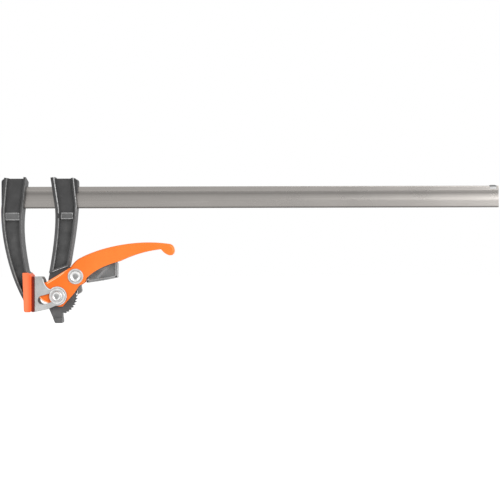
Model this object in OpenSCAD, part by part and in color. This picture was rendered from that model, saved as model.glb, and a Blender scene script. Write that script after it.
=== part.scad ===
// Bar clamp with a ratchet lever. Drawn closed, with the two clamping faces almost touching.
// +X runs along the rail away from the fixed jaw, +Y away from the viewer, +Z up.
// The origin is the middle of the fixed jaw's clamping face.

/* [Throat and travel] */
// Depth of the throat, from the rail's lower edge down to the middle of the clamping faces
throat_depth = 120; // [116:0.5:126]
// Widest opening between the faces, with the lever thrown open
opening = 600; // [200:10:900]

/* [Rail] */
// Height of the rail
rail_h = 31; // [29:0.5:33]
// Thickness of the rail
rail_t = 8; // [7:0.5:9]
// Depth of the groove rolled in each side of the rail
groove_depth = 0.9; // [0.4:0.1:1.5]
// Height of the rail's upper edge band, above the groove
rail_upper_band = 7; // [5:0.5:9]
// Height of the rail's lower edge band, below the groove
rail_lower_band = 11; // [8:0.5:13]
// Length of the rail that sits in the fixed jaw
rail_seat = 29; // [24:1:30]
// Length of the stop pressed into the rail's upper edge
stop_len = 9.6; // [6:0.2:14]
// Rail left over beyond the stop
rail_tail = 3.2; // [2:0.2:12]

/* [Jaw castings] */
// Width of the castings across their flanges
jaw_w = 24; // [22:0.5:27]
// Width of the castings' sleeves, between the flanges
sleeve_w = 15; // [14:0.5:17]
// Thickness of the web between the flanges
web_t = 7.5; // [5:0.5:9]
// Thickness of the flanges at their root
flange_t = 4.6; // [4:0.1:5.6]
// Thickness of the flanges at their rim
rim_t = 3.2; // [2.4:0.1:3.8]
// Wall of the sleeves above the rail
roof_t = 11.4; // [8:0.2:12]
// Wall of the sleeves below the rail
floor_t = 7.3; // [6:0.5:9]
// Height that the flanges' points stand above the sleeves
point_h = 1.2; // [0.8:0.1:3]
// Width of the stepped block below each sleeve
block_w = 19; // [17.5:0.5:20]
// Height of the stepped block below each sleeve
block_h = 9.7; // [6:0.1:12]
// Length of the stepped block along the rail
block_len = 20; // [16:0.5:21]
// Radius of the corners of the sleeves' noses
nose_r = 4.5; // [2:0.5:5]

/* [Clamping faces] */
// Height of the cap on the fixed jaw, above and below the middle of the face
cap_half_h = 28.1; // [26:0.5:30]
// Width of the cap
cap_w = 30; // [28:0.5:34]
// Thickness of the cap's face
cap_face_t = 3; // [2:0.25:4]
// Depth of the cap's side walls
cap_depth = 12.5; // [9:0.5:14]
// Thickness of the orange pad on the pressure shoe
pad_t = 2.8; // [2:0.2:4]

/* [Sliding arm] */
// Thickness of the tongue that carries the pivot and the ratchet
tongue_t = 11; // [9:0.5:12]
// Radius of the ratchet's tooth tips
tip_r = 27.1; // [26:0.1:28]
// Depth of the ratchet's teeth
tooth_depth = 2.8; // [2.2:0.1:3.4]
// Angle from tooth to tooth
tooth_pitch = 9.6; // [9:0.1:10.2]
// Number of teeth that the lever passes from closed to open
teeth_passed = 7; // [5:1:7]
// Height of the lower pivot, measured from the middle of the clamping faces
pivot_z = -5.3; // [-7:0.1:-4]
// Height of the foot's sole below the pivot
foot_drop = 38.7; // [36:0.1:42]
// Length of the foot's sole
foot_len = 10; // [8:0.5:12]
// Width of the foot
foot_w = 16; // [13:0.5:18]
// Thickness of the ledge above the cam
ledge_t = 3; // [2.5:0.25:4]

/* [Lever] */
// Thickness of the lever's sheet
lever_t = 2.5; // [2:0.1:2.8]
// Reach of the lever's cam from the pivot when closed
cam_reach = 30.4; // [29:0.1:32]
// Travel of the shoe along the rail as the lever swings open
cam_travel = 16; // [12:0.5:16.5]
// Length of the lever from the pivot to its far end
lever_len = 167; // [150:1:190]
// Radius of the lever's rounded end
bulb_r = 6.1; // [5:0.1:7.5]
// Outside radius of the bends along the lever's spine
lever_bend_r = 3.4; // [3:0.1:4]

/* [Release trigger] */
// Length of the trigger from its rivet to the end of its finger plate
trigger_len = 60; // [50:1:66]
// Thickness of the trigger's web
trigger_web_t = 7.4; // [5:0.2:9]
// Thickness of the trigger's border, seen from the side
trigger_rim_t = 3.5; // [2.5:0.25:4.5]
// Radius of the trigger's hub
hub_r = 7.5; // [6.5:0.1:8]

/* [Pressure shoe] */
// Thickness of the shoe's front wall
shoe_front_t = 2.5; // [2:0.1:3]
// Thickness of the shoe's side plates
shoe_side_t = 2; // [1.6:0.1:2.4]
// Outside radius of the bends at the shoe's front
shoe_bend_r = 2.6; // [2.4:0.1:2.8]
// Slope of the shoe's slots below the horizontal
slot_slope = 15; // [12:0.5:16]
// Clearance of the pivot bush in the slots, each side
slot_play = 0.4; // [0.3:0.05:0.6]

/* [Pivots] */
// Radius of the lower pivot's rivet
pivot_rivet_r = 4.2; // [3.5:0.1:4.6]
// Radius of the lower pivot's bush
pivot_bush_r = 5.8; // [5.4:0.1:6.4]
// Radius of the lower pivot's rivet heads
pivot_head_r = 7.5; // [6:0.25:8.5]
// Radius of the lower pivot's washers
washer_r = 11; // [10:0.25:12]
// Thickness of the lower pivot's washers
washer_t = 1.4; // [1:0.1:2]
// Radius of the trigger rivet's shank
trigger_rivet_r = 3.5; // [3:0.1:3.8]
// Radius of the trigger rivet's heads
trigger_head_r = 11.2; // [9:0.2:12]

/* [Trigger spring] */
// Diameter of the spring's wire
spring_wire = 0.9; // [0.7:0.05:1]
// Radius of the spring's coil, to the middle of the wire
spring_r = 5.6; // [5.4:0.1:6]

/* [Clearances] */
// Gap between the clamping faces as drawn, and beside parts that slide
slide_gap = 0.3; // [0.25:0.05:0.4]
// Gap of a pin in its bore
pin_gap = 0.08; // [0.04:0.01:0.1]
// Gap between plates that turn beside each other
plate_gap = 0.4; // [0.3:0.05:0.5]

/* [Hidden] */
$fn = 64;

// Heights of the rail and of the sleeves round it
rail_z0 = throat_depth;
rail_z1 = rail_z0 + rail_h;
sleeve_z0 = rail_z0 - floor_t;
sleeve_z1 = rail_z1 + roof_t;
point_z = sleeve_z1 + point_h;
block_z0 = sleeve_z0 - block_h;

// The lower pivot lies behind the pad, the shoe's front wall and the cam
shoe_face_x = slide_gap + pad_t;
pivot_x = shoe_face_x + shoe_front_t + slide_gap + cam_reach;

// Places along the rail
jaw_back_x = -43.4;
rail_x0 = -12.4 - rail_seat;
arm_lug_x = pivot_x + 29.4;
arm_travel = opening - cam_travel;
stop_x = arm_lug_x + arm_travel + 4.9;
rail_x1 = stop_x + stop_len + rail_tail;
jaw_face_x = -cap_face_t;

// Layers across the clamp, as half widths
tongue_y = tongue_t / 2;
lever_y0 = tongue_y + plate_gap + 0.1;
lever_y1 = lever_y0 + lever_t;
shoe_y0 = lever_y1 + slide_gap;
shoe_y1 = shoe_y0 + shoe_side_t;
washer_y0 = shoe_y1 + slide_gap;
washer_y1 = washer_y0 + washer_t;
trigger_y = lever_y0 - slide_gap;

// The trigger's rivet, and the pawl's tooth space, seen from the lower pivot
trigger_at = [26, 28];
first_tip = 1.6;
root_r = tip_r - tooth_depth;
lever_swing = teeth_passed * tooth_pitch;
cam_rate = cam_travel / (lever_swing * PI / 180);

// Spring: two full turns and the stretch between its legs
spring_turns = 2 + 85 / 360;
spring_pitch = spring_wire + 0.45;

function bezier(p, n) = [
  for (i = [0 : n])
    let (t = i / n, u = 1 - t)
    u * u * u * p[0] + 3 * u * u * t * p[1] + 3 * u * t * t * p[2] + t * t * t * p[3]
];
function polar(r, a) = [r * cos(a), r * sin(a)];
function arc(c, r, a0, a1, n) = [for (i = [0 : n]) c + polar(r, a0 + (a1 - a0) * i / n)];
function reversed(p) = [for (i = [len(p) - 1 : -1 : 0]) p[i]];
function moved(p, d) = [for (q = p) q + d];
function after_first(p) = [for (i = [1 : len(p) - 1]) p[i]];
function before_last(p) = [for (i = [0 : len(p) - 2]) p[i]];

// Moves each point of an open line sideways, to the left of its direction
function beside(p, d) = [
  for (i = [0 : len(p) - 1])
    let (
      a = p[max(i - 1, 0)],
      b = p[min(i + 1, len(p) - 1)],
      v = (b - a) / norm(b - a)
    )
    p[i] + d * [-v[1], v[0]]
];
function line_band(p, d) = concat(p, reversed(beside(p, d)));

// A flat shape drawn as seen from the front, given its depth about the middle plane
module across(depth) {
  rotate([90, 0, 0]) linear_extrude(height = depth, center = true) children();
}

// The same, between two distances behind the middle plane
module between(y0, y1) {
  translate([0, y1, 0]) rotate([90, 0, 0]) linear_extrude(height = y1 - y0) children();
}

// A pair of plates, one on each side of the middle plane
module both_sides(y0, y1) {
  between(y0, y1) children();
  between(-y1, -y0) children();
}

// A round bar across the clamp at a point of the side view
module bar(at, r, y0, y1) {
  translate([at[0], y1, at[1]]) rotate([90, 0, 0]) cylinder(r = r, h = y1 - y0);
}

module at_pivot() {
  translate([pivot_x, 0, pivot_z]) children();
}

// A closed skin over rings of points, each ring with as many points as the first
module skin(rings) {
  m = len(rings);
  n = len(rings[0]);
  polyhedron(
    points = [for (r = rings) each r],
    faces = concat(
      [[for (k = [n - 1 : -1 : 0]) k]],
      [
        for (i = [0 : m - 2], k = [0 : n - 1])
          let (a = i * n + k, b = i * n + (k + 1) % n)
          each [[a, b, a + n], [b, b + n, a + n]]
      ],
      [[for (k = [0 : n - 1]) (m - 1) * n + k]]
    )
  );
}

// A section swept along a line of the side view: each of its points is a pair of
// the distance inwards from the line and the place across the clamp
module swept(line, side, section) {
  ring = side > 0 ? section : reversed(section);
  inner = beside(line, side);
  skin([
    for (i = [0 : len(line) - 1])
      [for (q = ring) let (p = line[i] + q[0] * (inner[i] - line[i])) [p[0], q[1], p[1]]]
  ]);
}

// Rail

function rail_side() = [
  [rail_t / 2 - 1, 0],
  [rail_t / 2, 1],
  [rail_t / 2, rail_lower_band - 0.8],
  [rail_t / 2 - groove_depth, rail_lower_band + 1],
  [rail_t / 2 - groove_depth, rail_h - rail_upper_band - 0.3],
  [rail_t / 2, rail_h - rail_upper_band],
  [rail_t / 2, rail_h - 1],
  [rail_t / 2 - 1, rail_h]
];
function stop_notch() = [
  [stop_x, rail_z1 + 1],
  [stop_x, rail_z1 - 5],
  [stop_x + stop_len, rail_z1 - 5],
  [stop_x + stop_len, rail_z1 + 1]
];

module rail() {
  color("silver")
    difference() {
      translate([rail_x0, 0, rail_z0])
        rotate([90, 0, 90])
          linear_extrude(height = rail_x1 - rail_x0)
            polygon(concat(rail_side(), [for (p = reversed(rail_side())) [-p[0], p[1]]]));
      across(rail_t + 2) polygon(stop_notch());
    }
}

module rail_end_stop() {
  color("dimgray")
    across(rail_t)
      polygon([
        [stop_x, rail_z1 - 5],
        [stop_x + stop_len, rail_z1 - 5],
        [stop_x + stop_len, rail_z1 + 0.2],
        [stop_x + stop_len * 0.75, rail_z1 + 1],
        [stop_x + 1, rail_z1 + 1],
        [stop_x, rail_z1]
      ]);
}

// Castings: an outline has a left and a right edge, each drawn from the top down

function jaw_left() = concat(
  [[-38.7, point_z]],
  bezier([[-43, rail_z0 - 2], [-43.6, 74], [-30, 22], [-12, -10]], 14),
  [[-8.5, -cap_half_h + cap_face_t]]
);
function jaw_right() = concat(
  [[-7.4, point_z + 0.8]],
  bezier([[-12.4, rail_z0], [-16.5, 88], [-12.5, 62], [-6.5, cap_half_h + 1.5]], 12),
  [[jaw_face_x, cap_half_h - 1.5], [jaw_face_x, -cap_half_h + cap_face_t]]
);
function arm_left() = moved(concat(
  [[-9, point_z - pivot_z]],
  bezier([
    [-2.5, rail_z0 - pivot_z], [-0.7, 101.3], [-4.8, 67.3], [-11.3, 32.5]
  ], 12)
), [pivot_x, pivot_z]);
function arm_right() = moved(concat(
  [[23.9, sleeve_z1 - pivot_z + 1]],
  bezier([
    [28.1, rail_z0 - pivot_z + 3.7], [27.2, 105.3], [21.7, 71.3], [16.5, 42.9]
  ], 12)
), [pivot_x, pivot_z]);

// The two flanges, thinner at the rim than at the root
module flanges(left, right) {
  root_y = web_t / 2 - 0.3;
  section = [
    [0, -jaw_w / 2], [rim_t, -jaw_w / 2], [flange_t, -root_y],
    [flange_t, root_y], [rim_t, jaw_w / 2], [0, jaw_w / 2]
  ];
  swept(left, 1, section);
  swept(right, -1, section);
}

// The part of an outline between two heights, inside the flanges
module slice(left, right, z0, z1) {
  intersection() {
    polygon(concat(beside(left, rim_t / 2), reversed(beside(right, -rim_t / 2))));
    translate([-500, z0]) square([1000, z1 - z0]);
  }
}

// The nose of a sleeve beyond a flange: the x of its end, the way back to the flange,
// and the height of its underside
module nose(x, way, z0) {
  z1 = sleeve_z1 - 0.4;
  polygon(concat(
    [[x + way * 8.4, z0], [x + way * 8.4, z1]],
    arc([x + way * nose_r, z1 - nose_r], nose_r, 90, 90 + way * 90, 6),
    [[x, z0]]
  ));
}

// The right flange's top falls away towards the back
function flange_fall() = [
  [-jaw_w / 2 - 1, point_z + 1], [jaw_w / 2 + 1, sleeve_z1 - 4.3],
  [jaw_w / 2 + 1, point_z + 9], [-jaw_w / 2 - 1, point_z + 9]
];

module fixed_jaw() {
  color("dimgray")
    difference() {
      union() {
        flanges(jaw_left(), jaw_right());
        across(sleeve_w) {
          slice(jaw_left(), jaw_right(), sleeve_z0, sleeve_z1);
          nose(jaw_back_x, 1, sleeve_z0);
        }
        across(web_t) slice(jaw_left(), jaw_right(), -cap_half_h, sleeve_z0 + 1);
        across(block_w)
          translate([jaw_back_x + 6, block_z0])
            square([block_len, block_h + 1]);
      }
      translate([rail_x0, -rail_t / 2, rail_z0]) cube([60, rail_t, rail_h]);
      translate([-11.5, 0, 0])
        rotate([90, 0, 90])
          linear_extrude(height = 20) polygon(flange_fall());
    }
}

module fixed_jaw_cap() {
  color([1, 0.5, 0.32])
    difference() {
      across(cap_w)
        polygon(concat(
          [[-cap_depth, cap_half_h], [-4, cap_half_h], [0, cap_half_h - 4]],
          arc([-3, -cap_half_h + 3], 3, 0, -90, 6),
          arc([-cap_depth + 5, -cap_half_h + 3], 3, -90, -180, 6)
        ));
      across(jaw_w + 0.1)
        polygon([
          [-cap_depth - 5, cap_half_h + 5],
          [jaw_face_x, cap_half_h + 5],
          [jaw_face_x, -cap_half_h + cap_face_t],
          [-cap_depth - 5, -cap_half_h + cap_face_t]
        ]);
    }
}

// Lower edge of the arm's ledge, where its flanges end above the cam
ledge = [[-11.3, 32.5], [16.5, 42.9]];

// Ratchet: steep faces look up, slopes look down

function tooth(k) =
  let (a = first_tip - k * tooth_pitch)
  [polar(root_r, a - tooth_pitch + 0.8), polar(tip_r, a - 1), polar(tip_r, a)];
function ratchet_edge() = [
  for (k = [teeth_passed : -1 : 0]) each tooth(k)
];
function foot_tip() = [
  [-4.6, -foot_drop + 2.2],
  [-3.6, -foot_drop],
  [foot_len - 3.6, -foot_drop],
  [foot_len - 2.8, -foot_drop + 1.7]
];
function tongue_outline() = concat(
  [
    ledge[1],
    ledge[0],
    [-13.4, 24],
    [-13.4, 6],
    [-12.2, -8],
    [-12.2, -18.7]
  ],
  foot_tip(),
  [[6.5, -root_r - 2.1]],
  ratchet_edge(),
  [polar(root_r, first_tip + 0.8)],
  arc([0, 0], tip_r, first_tip + tooth_pitch - 1, 58, 8)
);

module sliding_arm() {
  color("dimgray")
    difference() {
      union() {
        difference() {
          flanges(arm_left(), arm_right());
          at_pivot() across(2 * jaw_w) polygon(line_band(ledge, -10));
        }
        across(sleeve_w) {
          slice(arm_left(), arm_right(), sleeve_z0, sleeve_z1);
          nose(arm_lug_x, -1, rail_z0 + 21.7);
        }
        across(web_t) slice(arm_left(), arm_right(), -500, sleeve_z0 + 1);
        across(block_w)
          translate([pivot_x + 2.7, block_z0])
            square([block_len, block_h + 1]);
        at_pivot() {
          across(jaw_w) polygon(line_band(ledge, ledge_t));
          across(tongue_t) polygon(tongue_outline());
          across(foot_w) polygon(concat(foot_tip(), [[6.8, -foot_drop + 7.7], [-6.6, -foot_drop + 7.2]]));
        }
      }
      translate([pivot_x - 60, -rail_t / 2 - slide_gap, rail_z0 - slide_gap])
        cube([120, rail_t + 2 * slide_gap, rail_h + 2 * slide_gap]);
      at_pivot() bar([0, 0], pivot_bush_r, -jaw_w, jaw_w);
    }
}

// Lever: a cam whose flat follower moves in step with the swing

function cam_point(swing) =
  let (a = 180 + swing, h = cam_reach - cam_rate * swing * PI / 180)
  h * polar(1, a) - cam_rate * polar(1, a + 90);
function cam_edge() = [for (i = [0 : 14]) cam_point(lever_swing * i / 14)];

bulb_at = [lever_len - bulb_r, 63.8];
function lever_top() = concat(
  bezier([[17.3, 40], [22.5, 45], [26, 50.2], [32.8, 54]], 6),
  after_first(bezier([
    [32.8, 54], [62, 70], [lever_len - 53, 78.6], [lever_len - 7, 73.2]
  ], 16)),
  after_first(bezier([
    [lever_len - 7, 73.2], [lever_len - 2.6, 72.3], [lever_len, 68.8], bulb_at + [bulb_r, 0]
  ], 6))
);
function lever_spine() = concat(lever_top(), after_first(arc(bulb_at, bulb_r, 0, -60, 4)));
function lever_bottom() = concat(
  [[lever_len - 12.4, 60], [lever_len - 16.6, 63.3]],
  bezier([[lever_len - 19, 66.5], [lever_len - 41, 64.5], [108, 57.5], [89.2, 49.3]], 8),
  after_first(bezier([[89.2, 49.3], [72, 43], [56, 38], [42.8, 25.4]], 8))
);
function lever_outline() = concat(
  [[-16, 19.7], [17.3, 40]],
  after_first(before_last(beside(lever_spine(), -lever_bend_r))),
  arc(bulb_at, bulb_r, -52, -115, 5),
  lever_bottom(),
  [[39, 19.9], [30.4, 13.8], [24.3, 4.5], [7.3, -14.9], [1.9, -14.9]],
  [cam_point(lever_swing) + 7 * polar(1, lever_swing - 90)],
  reversed(cam_edge()),
  [cam_point(0) + [1.2, 4.2]]
);

// Section of the spine: the sheet with its two bends, which end inside the plates
function spine_section() =
  let (
    r = lever_bend_r,
    bend = [for (a = [90 : -18 : 0]) [r - r * sin(a), -lever_y1 + r - r * cos(a)]],
    half = concat(bend, [
      [r + 1, -lever_y1 + 0.4], [r + 0.5, -lever_y0 - 0.3], [lever_t, -lever_y1 + r]
    ])
  )
  concat(half, [for (p = reversed(half)) [p[0], -p[1]]]);

module lever() {
  color([1, 0.5, 0.19])
    at_pivot()
      difference() {
        union() {
          both_sides(lever_y0, lever_y1) polygon(lever_outline());
          swept(lever_spine(), -1, spine_section());
        }
        bar([0, 0], pivot_bush_r + pin_gap, -jaw_w, jaw_w);
        bar(trigger_at, trigger_rivet_r, -jaw_w, jaw_w);
      }
}

// Trigger, with the pawl on its hub

module release_trigger() {
  end_x = trigger_at[0] + trigger_len;
  under = bezier([[41.6, 18.4], [52, 20], [66, 21.5], [end_x - 0.4, 25.9]], 8);
  color([0.42, 0.42, 0.42])
    at_pivot()
      difference() {
        union() {
          bar(trigger_at, hub_r, -trigger_y, trigger_y);
          across(2 * trigger_y - 0.8)
            polygon([
              [20.8, 23], [26, 16], [30.4, 8.6], [27.42, 1.55],
              [33.1, 4.8], [34.2, 7.7], [33.1, 13.4], [33.4, 21.2]
            ]);
          across(trigger_web_t)
            polygon(concat(
              [[24, 35.2], [29, 37.2], [50, 44], [end_x - 2, 47.1], [end_x - 0.2, 45.3]],
              reversed(under),
              [[40.7, 23.4], [31, 20.5]]
            ));
          across(2 * trigger_y) {
            polygon(line_band(under, trigger_rim_t));
            polygon([
              [end_x - 0.4 - trigger_rim_t, 26], [end_x - 0.4, 25.9], [end_x - 0.2, 45.3],
              [end_x - 2, 47.1], [end_x - 0.4 - trigger_rim_t, 46.9]
            ]);
            polygon([[41.6, 18.4], [41.6 + trigger_rim_t, 21], [40.7 + trigger_rim_t, 25], [40.7, 23.4]]);
          }
        }
        bar(trigger_at, trigger_rivet_r + pin_gap, -jaw_w, jaw_w);
        difference() {
          bar(trigger_at, hub_r + 0.5, 1.5, jaw_w);
          bar(trigger_at, spring_r - spring_wire / 2 - 0.55, 0, jaw_w);
        }
      }
}

// Points of the spring's wire: leg on the lever's spine, coil, leg on the finger plate
function spring_coil_point(a) =
  let (y = 1.5 + spring_wire * 0.7 + spring_pitch * (a - 185) / 360)
  [trigger_at[0] + spring_r * cos(a), y, trigger_at[1] + spring_r * sin(a)];
spring_last = 185 + 360 * spring_turns;
spring_path = concat(
  [spring_coil_point(185) + 10 * [cos(95), 0, sin(95)]],
  [spring_coil_point(185) + 2 * [cos(95), 0, sin(95)]],
  [for (a = [185 : 15 : spring_last]) spring_coil_point(a)],
  [spring_coil_point(spring_last) + [3, 0, 0.1], spring_coil_point(spring_last) + [14, 0, 0.6]]
);
spring_sides = 6;

// Rings stand square to the wire, each turned from the direction across the clamp
function ring(p, i, r, n) =
  let (
    a = p[max(i - 1, 0)],
    b = p[min(i + 1, len(p) - 1)],
    t = (b - a) / norm(b - a),
    side = cross(t, [0, 1, 0]) / norm(cross(t, [0, 1, 0])),
    up = cross(side, t)
  )
  [for (k = [0 : n - 1]) p[i] + r * cos(360 * k / n) * side + r * sin(360 * k / n) * up];

module trigger_spring() {
  color("gray")
    at_pivot()
      skin([for (i = [0 : len(spring_path) - 1]) ring(spring_path, i, spring_wire / 2, spring_sides)]);
}

// A rivet's head, turned about its axis: a flange, a raised ring and a dished middle
function head_profile(r, shank_r) = [
  [0, 0], [r, 0], [r, 0.8], [r - 0.8, 1.5], [r * 0.8, 1.6], [r * 0.72, 2.9],
  [r * 0.6, 3.2], [r * 0.5, 2.7], [r * 0.36, 1.9], [0, 1.7]
];

module head(at, y, r, side) {
  translate([at[0], side * y, at[1]])
    rotate([side * -90, 0, 0])
      rotate_extrude() polygon(head_profile(r));
}

module trigger_rivet() {
  color("lightgray")
    at_pivot() {
      bar(trigger_at, trigger_rivet_r, -lever_y1 - 0.5, lever_y1 + 0.5);
      for (side = [-1, 1]) head(trigger_at, lever_y1, trigger_head_r, side);
    }
}

module pivot_rivet() {
  color("lightgray")
    at_pivot() {
      bar([0, 0], pivot_rivet_r, -washer_y1 - 0.5, washer_y1 + 0.5);
      for (side = [-1, 1]) head([0, 0], washer_y1, pivot_head_r, side);
    }
}

module pivot_bush() {
  color("darkgray")
    at_pivot()
      difference() {
        bar([0, 0], pivot_bush_r, -washer_y0, washer_y0);
        bar([0, 0], pivot_rivet_r, -jaw_w, jaw_w);
      }
}

module pivot_washer(y0, y1) {
  color("silver")
    at_pivot()
      difference() {
        bar([0, 0], washer_r, y0, y1);
        bar([0, 0], pivot_rivet_r, -jaw_w, jaw_w);
      }
}

module pivot_washer_front() {
  pivot_washer(-washer_y1, -washer_y0);
}

module pivot_washer_back() {
  pivot_washer(washer_y0, washer_y1);
}

// Pressure shoe, seen from the lower pivot

shoe_x0 = shoe_face_x - pivot_x;
shoe_top = 27.6;
shoe_bottom = -22.8;
slot_r = pivot_bush_r + slot_play;
slot_len = cam_travel / cos(slot_slope) + 5.6;
function shoe_outline() = concat(
  [[shoe_x0, shoe_bottom], [shoe_x0, shoe_top], [-22, shoe_top]],
  bezier([[-19.7, 24.3], [-18, 18], [-16.5, 12.8], [-9.6, 9.8]], 8),
  arc([0, 0], 13.7, 116, -97, 18),
  [[-11.8, -18.2]]
);

// The bent sheet seen from above, before its side plates are trimmed
function shoe_channel() =
  let (
    r = shoe_bend_r,
    outer = arc([shoe_x0 + r, -shoe_y1 + r], r, 270, 180, 6),
    inner = arc([shoe_x0 + r + shoe_front_t - shoe_side_t, -shoe_y1 + r], r - shoe_side_t, 180, 270, 4),
    half = concat([[shoe_x0 + 60, -shoe_y1]], outer),
    back = concat(inner, [[shoe_x0 + 60, -shoe_y0]])
  )
  concat(
    half,
    [for (p = reversed(half)) [p[0], -p[1]]],
    [for (p = reversed(back)) [p[0], -p[1]]],
    back
  );

module pressure_shoe() {
  color([0.77, 0.77, 0.76])
    at_pivot()
      difference() {
        intersection() {
          translate([0, 0, shoe_bottom])
            linear_extrude(height = shoe_top - shoe_bottom) polygon(shoe_channel());
          across(2 * jaw_w) polygon(shoe_outline());
        }
        rotate([0, -slot_slope, 0]) {
          translate([-slot_len, -jaw_w, -slot_r]) cube([slot_len, 2 * jaw_w, 2 * slot_r]);
          bar([-slot_len, 0], slot_r, -jaw_w, jaw_w);
          bar([0, 0], slot_r, -jaw_w, jaw_w);
        }
      }
}

module shoe_pad() {
  color([1, 0.42, 0.28])
    at_pivot()
      across(2 * shoe_y1)
        translate([shoe_x0 - pad_t, shoe_bottom])
          square([pad_t, shoe_top - shoe_bottom]);
}

rail();
rail_end_stop();
fixed_jaw();
fixed_jaw_cap();
sliding_arm();
lever();
release_trigger();
trigger_spring();
trigger_rivet();
pivot_rivet();
pivot_bush();
pivot_washer_front();
pivot_washer_back();
pressure_shoe();
shoe_pad();
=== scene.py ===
"""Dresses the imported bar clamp: its pieces, finishes, studio and camera, in the frame of the CAD.

Sizes in this file are in millimetres, and a point becomes metres where its vertex is placed.
"""

from __future__ import annotations

import logging
import math
from dataclasses import dataclass
from enum import Enum, IntEnum
from typing import Callable, Sequence

import bmesh
import bpy
from mathutils import Matrix, Vector

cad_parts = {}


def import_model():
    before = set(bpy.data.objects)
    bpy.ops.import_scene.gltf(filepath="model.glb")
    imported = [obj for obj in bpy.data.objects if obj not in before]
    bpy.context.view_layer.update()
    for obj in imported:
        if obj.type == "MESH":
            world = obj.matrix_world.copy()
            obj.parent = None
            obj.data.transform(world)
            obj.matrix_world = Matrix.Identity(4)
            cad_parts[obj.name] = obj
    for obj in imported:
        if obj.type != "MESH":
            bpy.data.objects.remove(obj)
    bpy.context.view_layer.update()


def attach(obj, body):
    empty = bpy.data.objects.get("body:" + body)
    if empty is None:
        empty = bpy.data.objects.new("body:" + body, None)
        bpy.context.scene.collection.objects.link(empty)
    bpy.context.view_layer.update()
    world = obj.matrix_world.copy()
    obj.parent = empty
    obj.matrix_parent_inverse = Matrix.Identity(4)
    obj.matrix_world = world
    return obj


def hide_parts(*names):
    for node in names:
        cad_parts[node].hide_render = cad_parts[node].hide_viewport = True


LOG = logging.getLogger("bar_clamp")
MM = 0.001
Flat = tuple[float, float]
Line = list[Flat]
Row = list[Vector]
Point = tuple[float, float, float]
Colour = tuple[float, float, float]
Stops = tuple[Flat, ...]
Piece = bpy.types.Object
Material = bpy.types.Material
Node = bpy.types.Node

# Stops that leave a finish as it is from end to end
EVEN: Stops = ((0.0, 1.0), (1.0, 1.0))
# How far a cutter reaches to each side of the clamp's middle plane
ACROSS = 30


class Body(Enum):
    """The clamp's bodies: the one that stands still, and those that its joints move."""

    ROOT = "root"
    ARM = "arm"
    LEVER = "lever"
    TRIGGER = "trigger"
    SHOE = "shoe"


class Slot(IntEnum):
    """Places in a piece's list of finishes, of which a plainer piece uses the first ones."""

    COAT = 0
    EDGE = 1
    FACE = 2
    BLOCK_EDGE = 3
    WEB = 4
    RIM = 5
    FLANK = 6


@dataclass(frozen=True)
class Datum:
    """Places and widths that several sub-assemblies share."""

    pivot: Flat = (36.3, -5.3)
    rivet: Flat = (62.3, 22.7)
    rail_z0: float = 120
    rail_z1: float = 151
    rail_half: float = 4
    crown: float = 166
    sole: float = -44
    ground: float = -152
    lever_y0: float = 6.0
    lever_y1: float = 8.5
    shoe_y1: float = 10.8
    washer_y0: float = 11.1
    washer_y1: float = 12.5


AT = Datum()


# Curves in the side view


def bezier(a: Flat, b: Flat, c: Flat, d: Flat, steps: int) -> Line:
    """Draws a cubic curve from a to d.

    Args:
        a: First point.
        b: Handle of the first point.
        c: Handle of the last point.
        d: Last point.
        steps: Number of straight steps.

    Returns:
        The points of the curve, both ends included.
    """
    line = []
    for i in range(steps + 1):
        t = i / steps
        u = 1 - t
        weights = (u * u * u, 3 * u * u * t, 3 * u * t * t, t * t * t)
        line.append(tuple(sum(w * p[k] for w, p in zip(weights, (a, b, c, d))) for k in (0, 1)))
    return line


def polar(radius: float, degrees: float, centre: Flat = (0, 0)) -> Flat:
    """Gives the point at a radius and an angle in degrees from a centre."""
    turn = math.radians(degrees)
    return (centre[0] + radius * math.cos(turn), centre[1] + radius * math.sin(turn))


def arc(centre: Flat, radius: float, start: float, end: float, steps: int) -> Line:
    """Draws an arc from one angle to another, in degrees."""
    return [polar(radius, start + (end - start) * i / steps, centre) for i in range(steps + 1)]


def moved(line: Line, by: Flat) -> Line:
    """Shifts a line."""
    return [(x + by[0], z + by[1]) for x, z in line]


def beside(line: Line, offset: float) -> Line:
    """Shifts a line sideways, to the left of its direction.

    Args:
        line: The points of an open line.
        offset: How far to shift it; a negative number shifts it to the right.

    Returns:
        As many points as the line has.
    """
    out = []
    for i, (x, z) in enumerate(line):
        a, b = line[max(i - 1, 0)], line[min(i + 1, len(line) - 1)]
        along = Vector((b[0] - a[0], b[1] - a[1])).normalized()
        out.append((x - offset * along.y, z + offset * along.x))
    return out


def between_heights(line: Line, top: float, bottom: float) -> Line:
    """Keeps the part of a falling line between two heights, with its ends cut level.

    Args:
        line: The points of the line, from the top down.
        top: The upper height.
        bottom: The lower height.

    Returns:
        The points of the part, with one on each height.
    """

    def at(z: float) -> Flat:
        """Gives the line's point at a height, or the point below or above its end.

        Args:
            z: The height.

        Returns:
            The point.
        """
        for (x0, z0), (x1, z1) in zip(line, line[1:]):
            if z1 <= z <= z0:
                return (x0 + (x1 - x0) * (z0 - z) / max(z0 - z1, 1e-9), z)
        end = line[0] if z > line[0][1] else line[-1]
        return (end[0], z)

    return [at(top), *[p for p in line if bottom + 0.01 < p[1] < top - 0.01], at(bottom)]


def resample(line: Line, step: float) -> Line:
    """Lays points at even steps along a line, with its ends kept.

    Args:
        line: The points of a line.
        step: Wanted distance between points.

    Returns:
        The new points.
    """
    lengths = [math.dist(a, b) for a, b in zip(line, line[1:])]
    total = sum(lengths)
    count = max(2, round(total / step))
    out = [line[0]]
    reached, i = 0.0, 0
    for k in range(1, count):
        want = total * k / count
        while reached + lengths[i] < want:
            reached += lengths[i]
            i += 1
        t = (want - reached) / lengths[i]
        out.append(tuple(a + t * (b - a) for a, b in zip(line[i], line[i + 1])))
    return out + [line[-1]]


# Modelling


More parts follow.
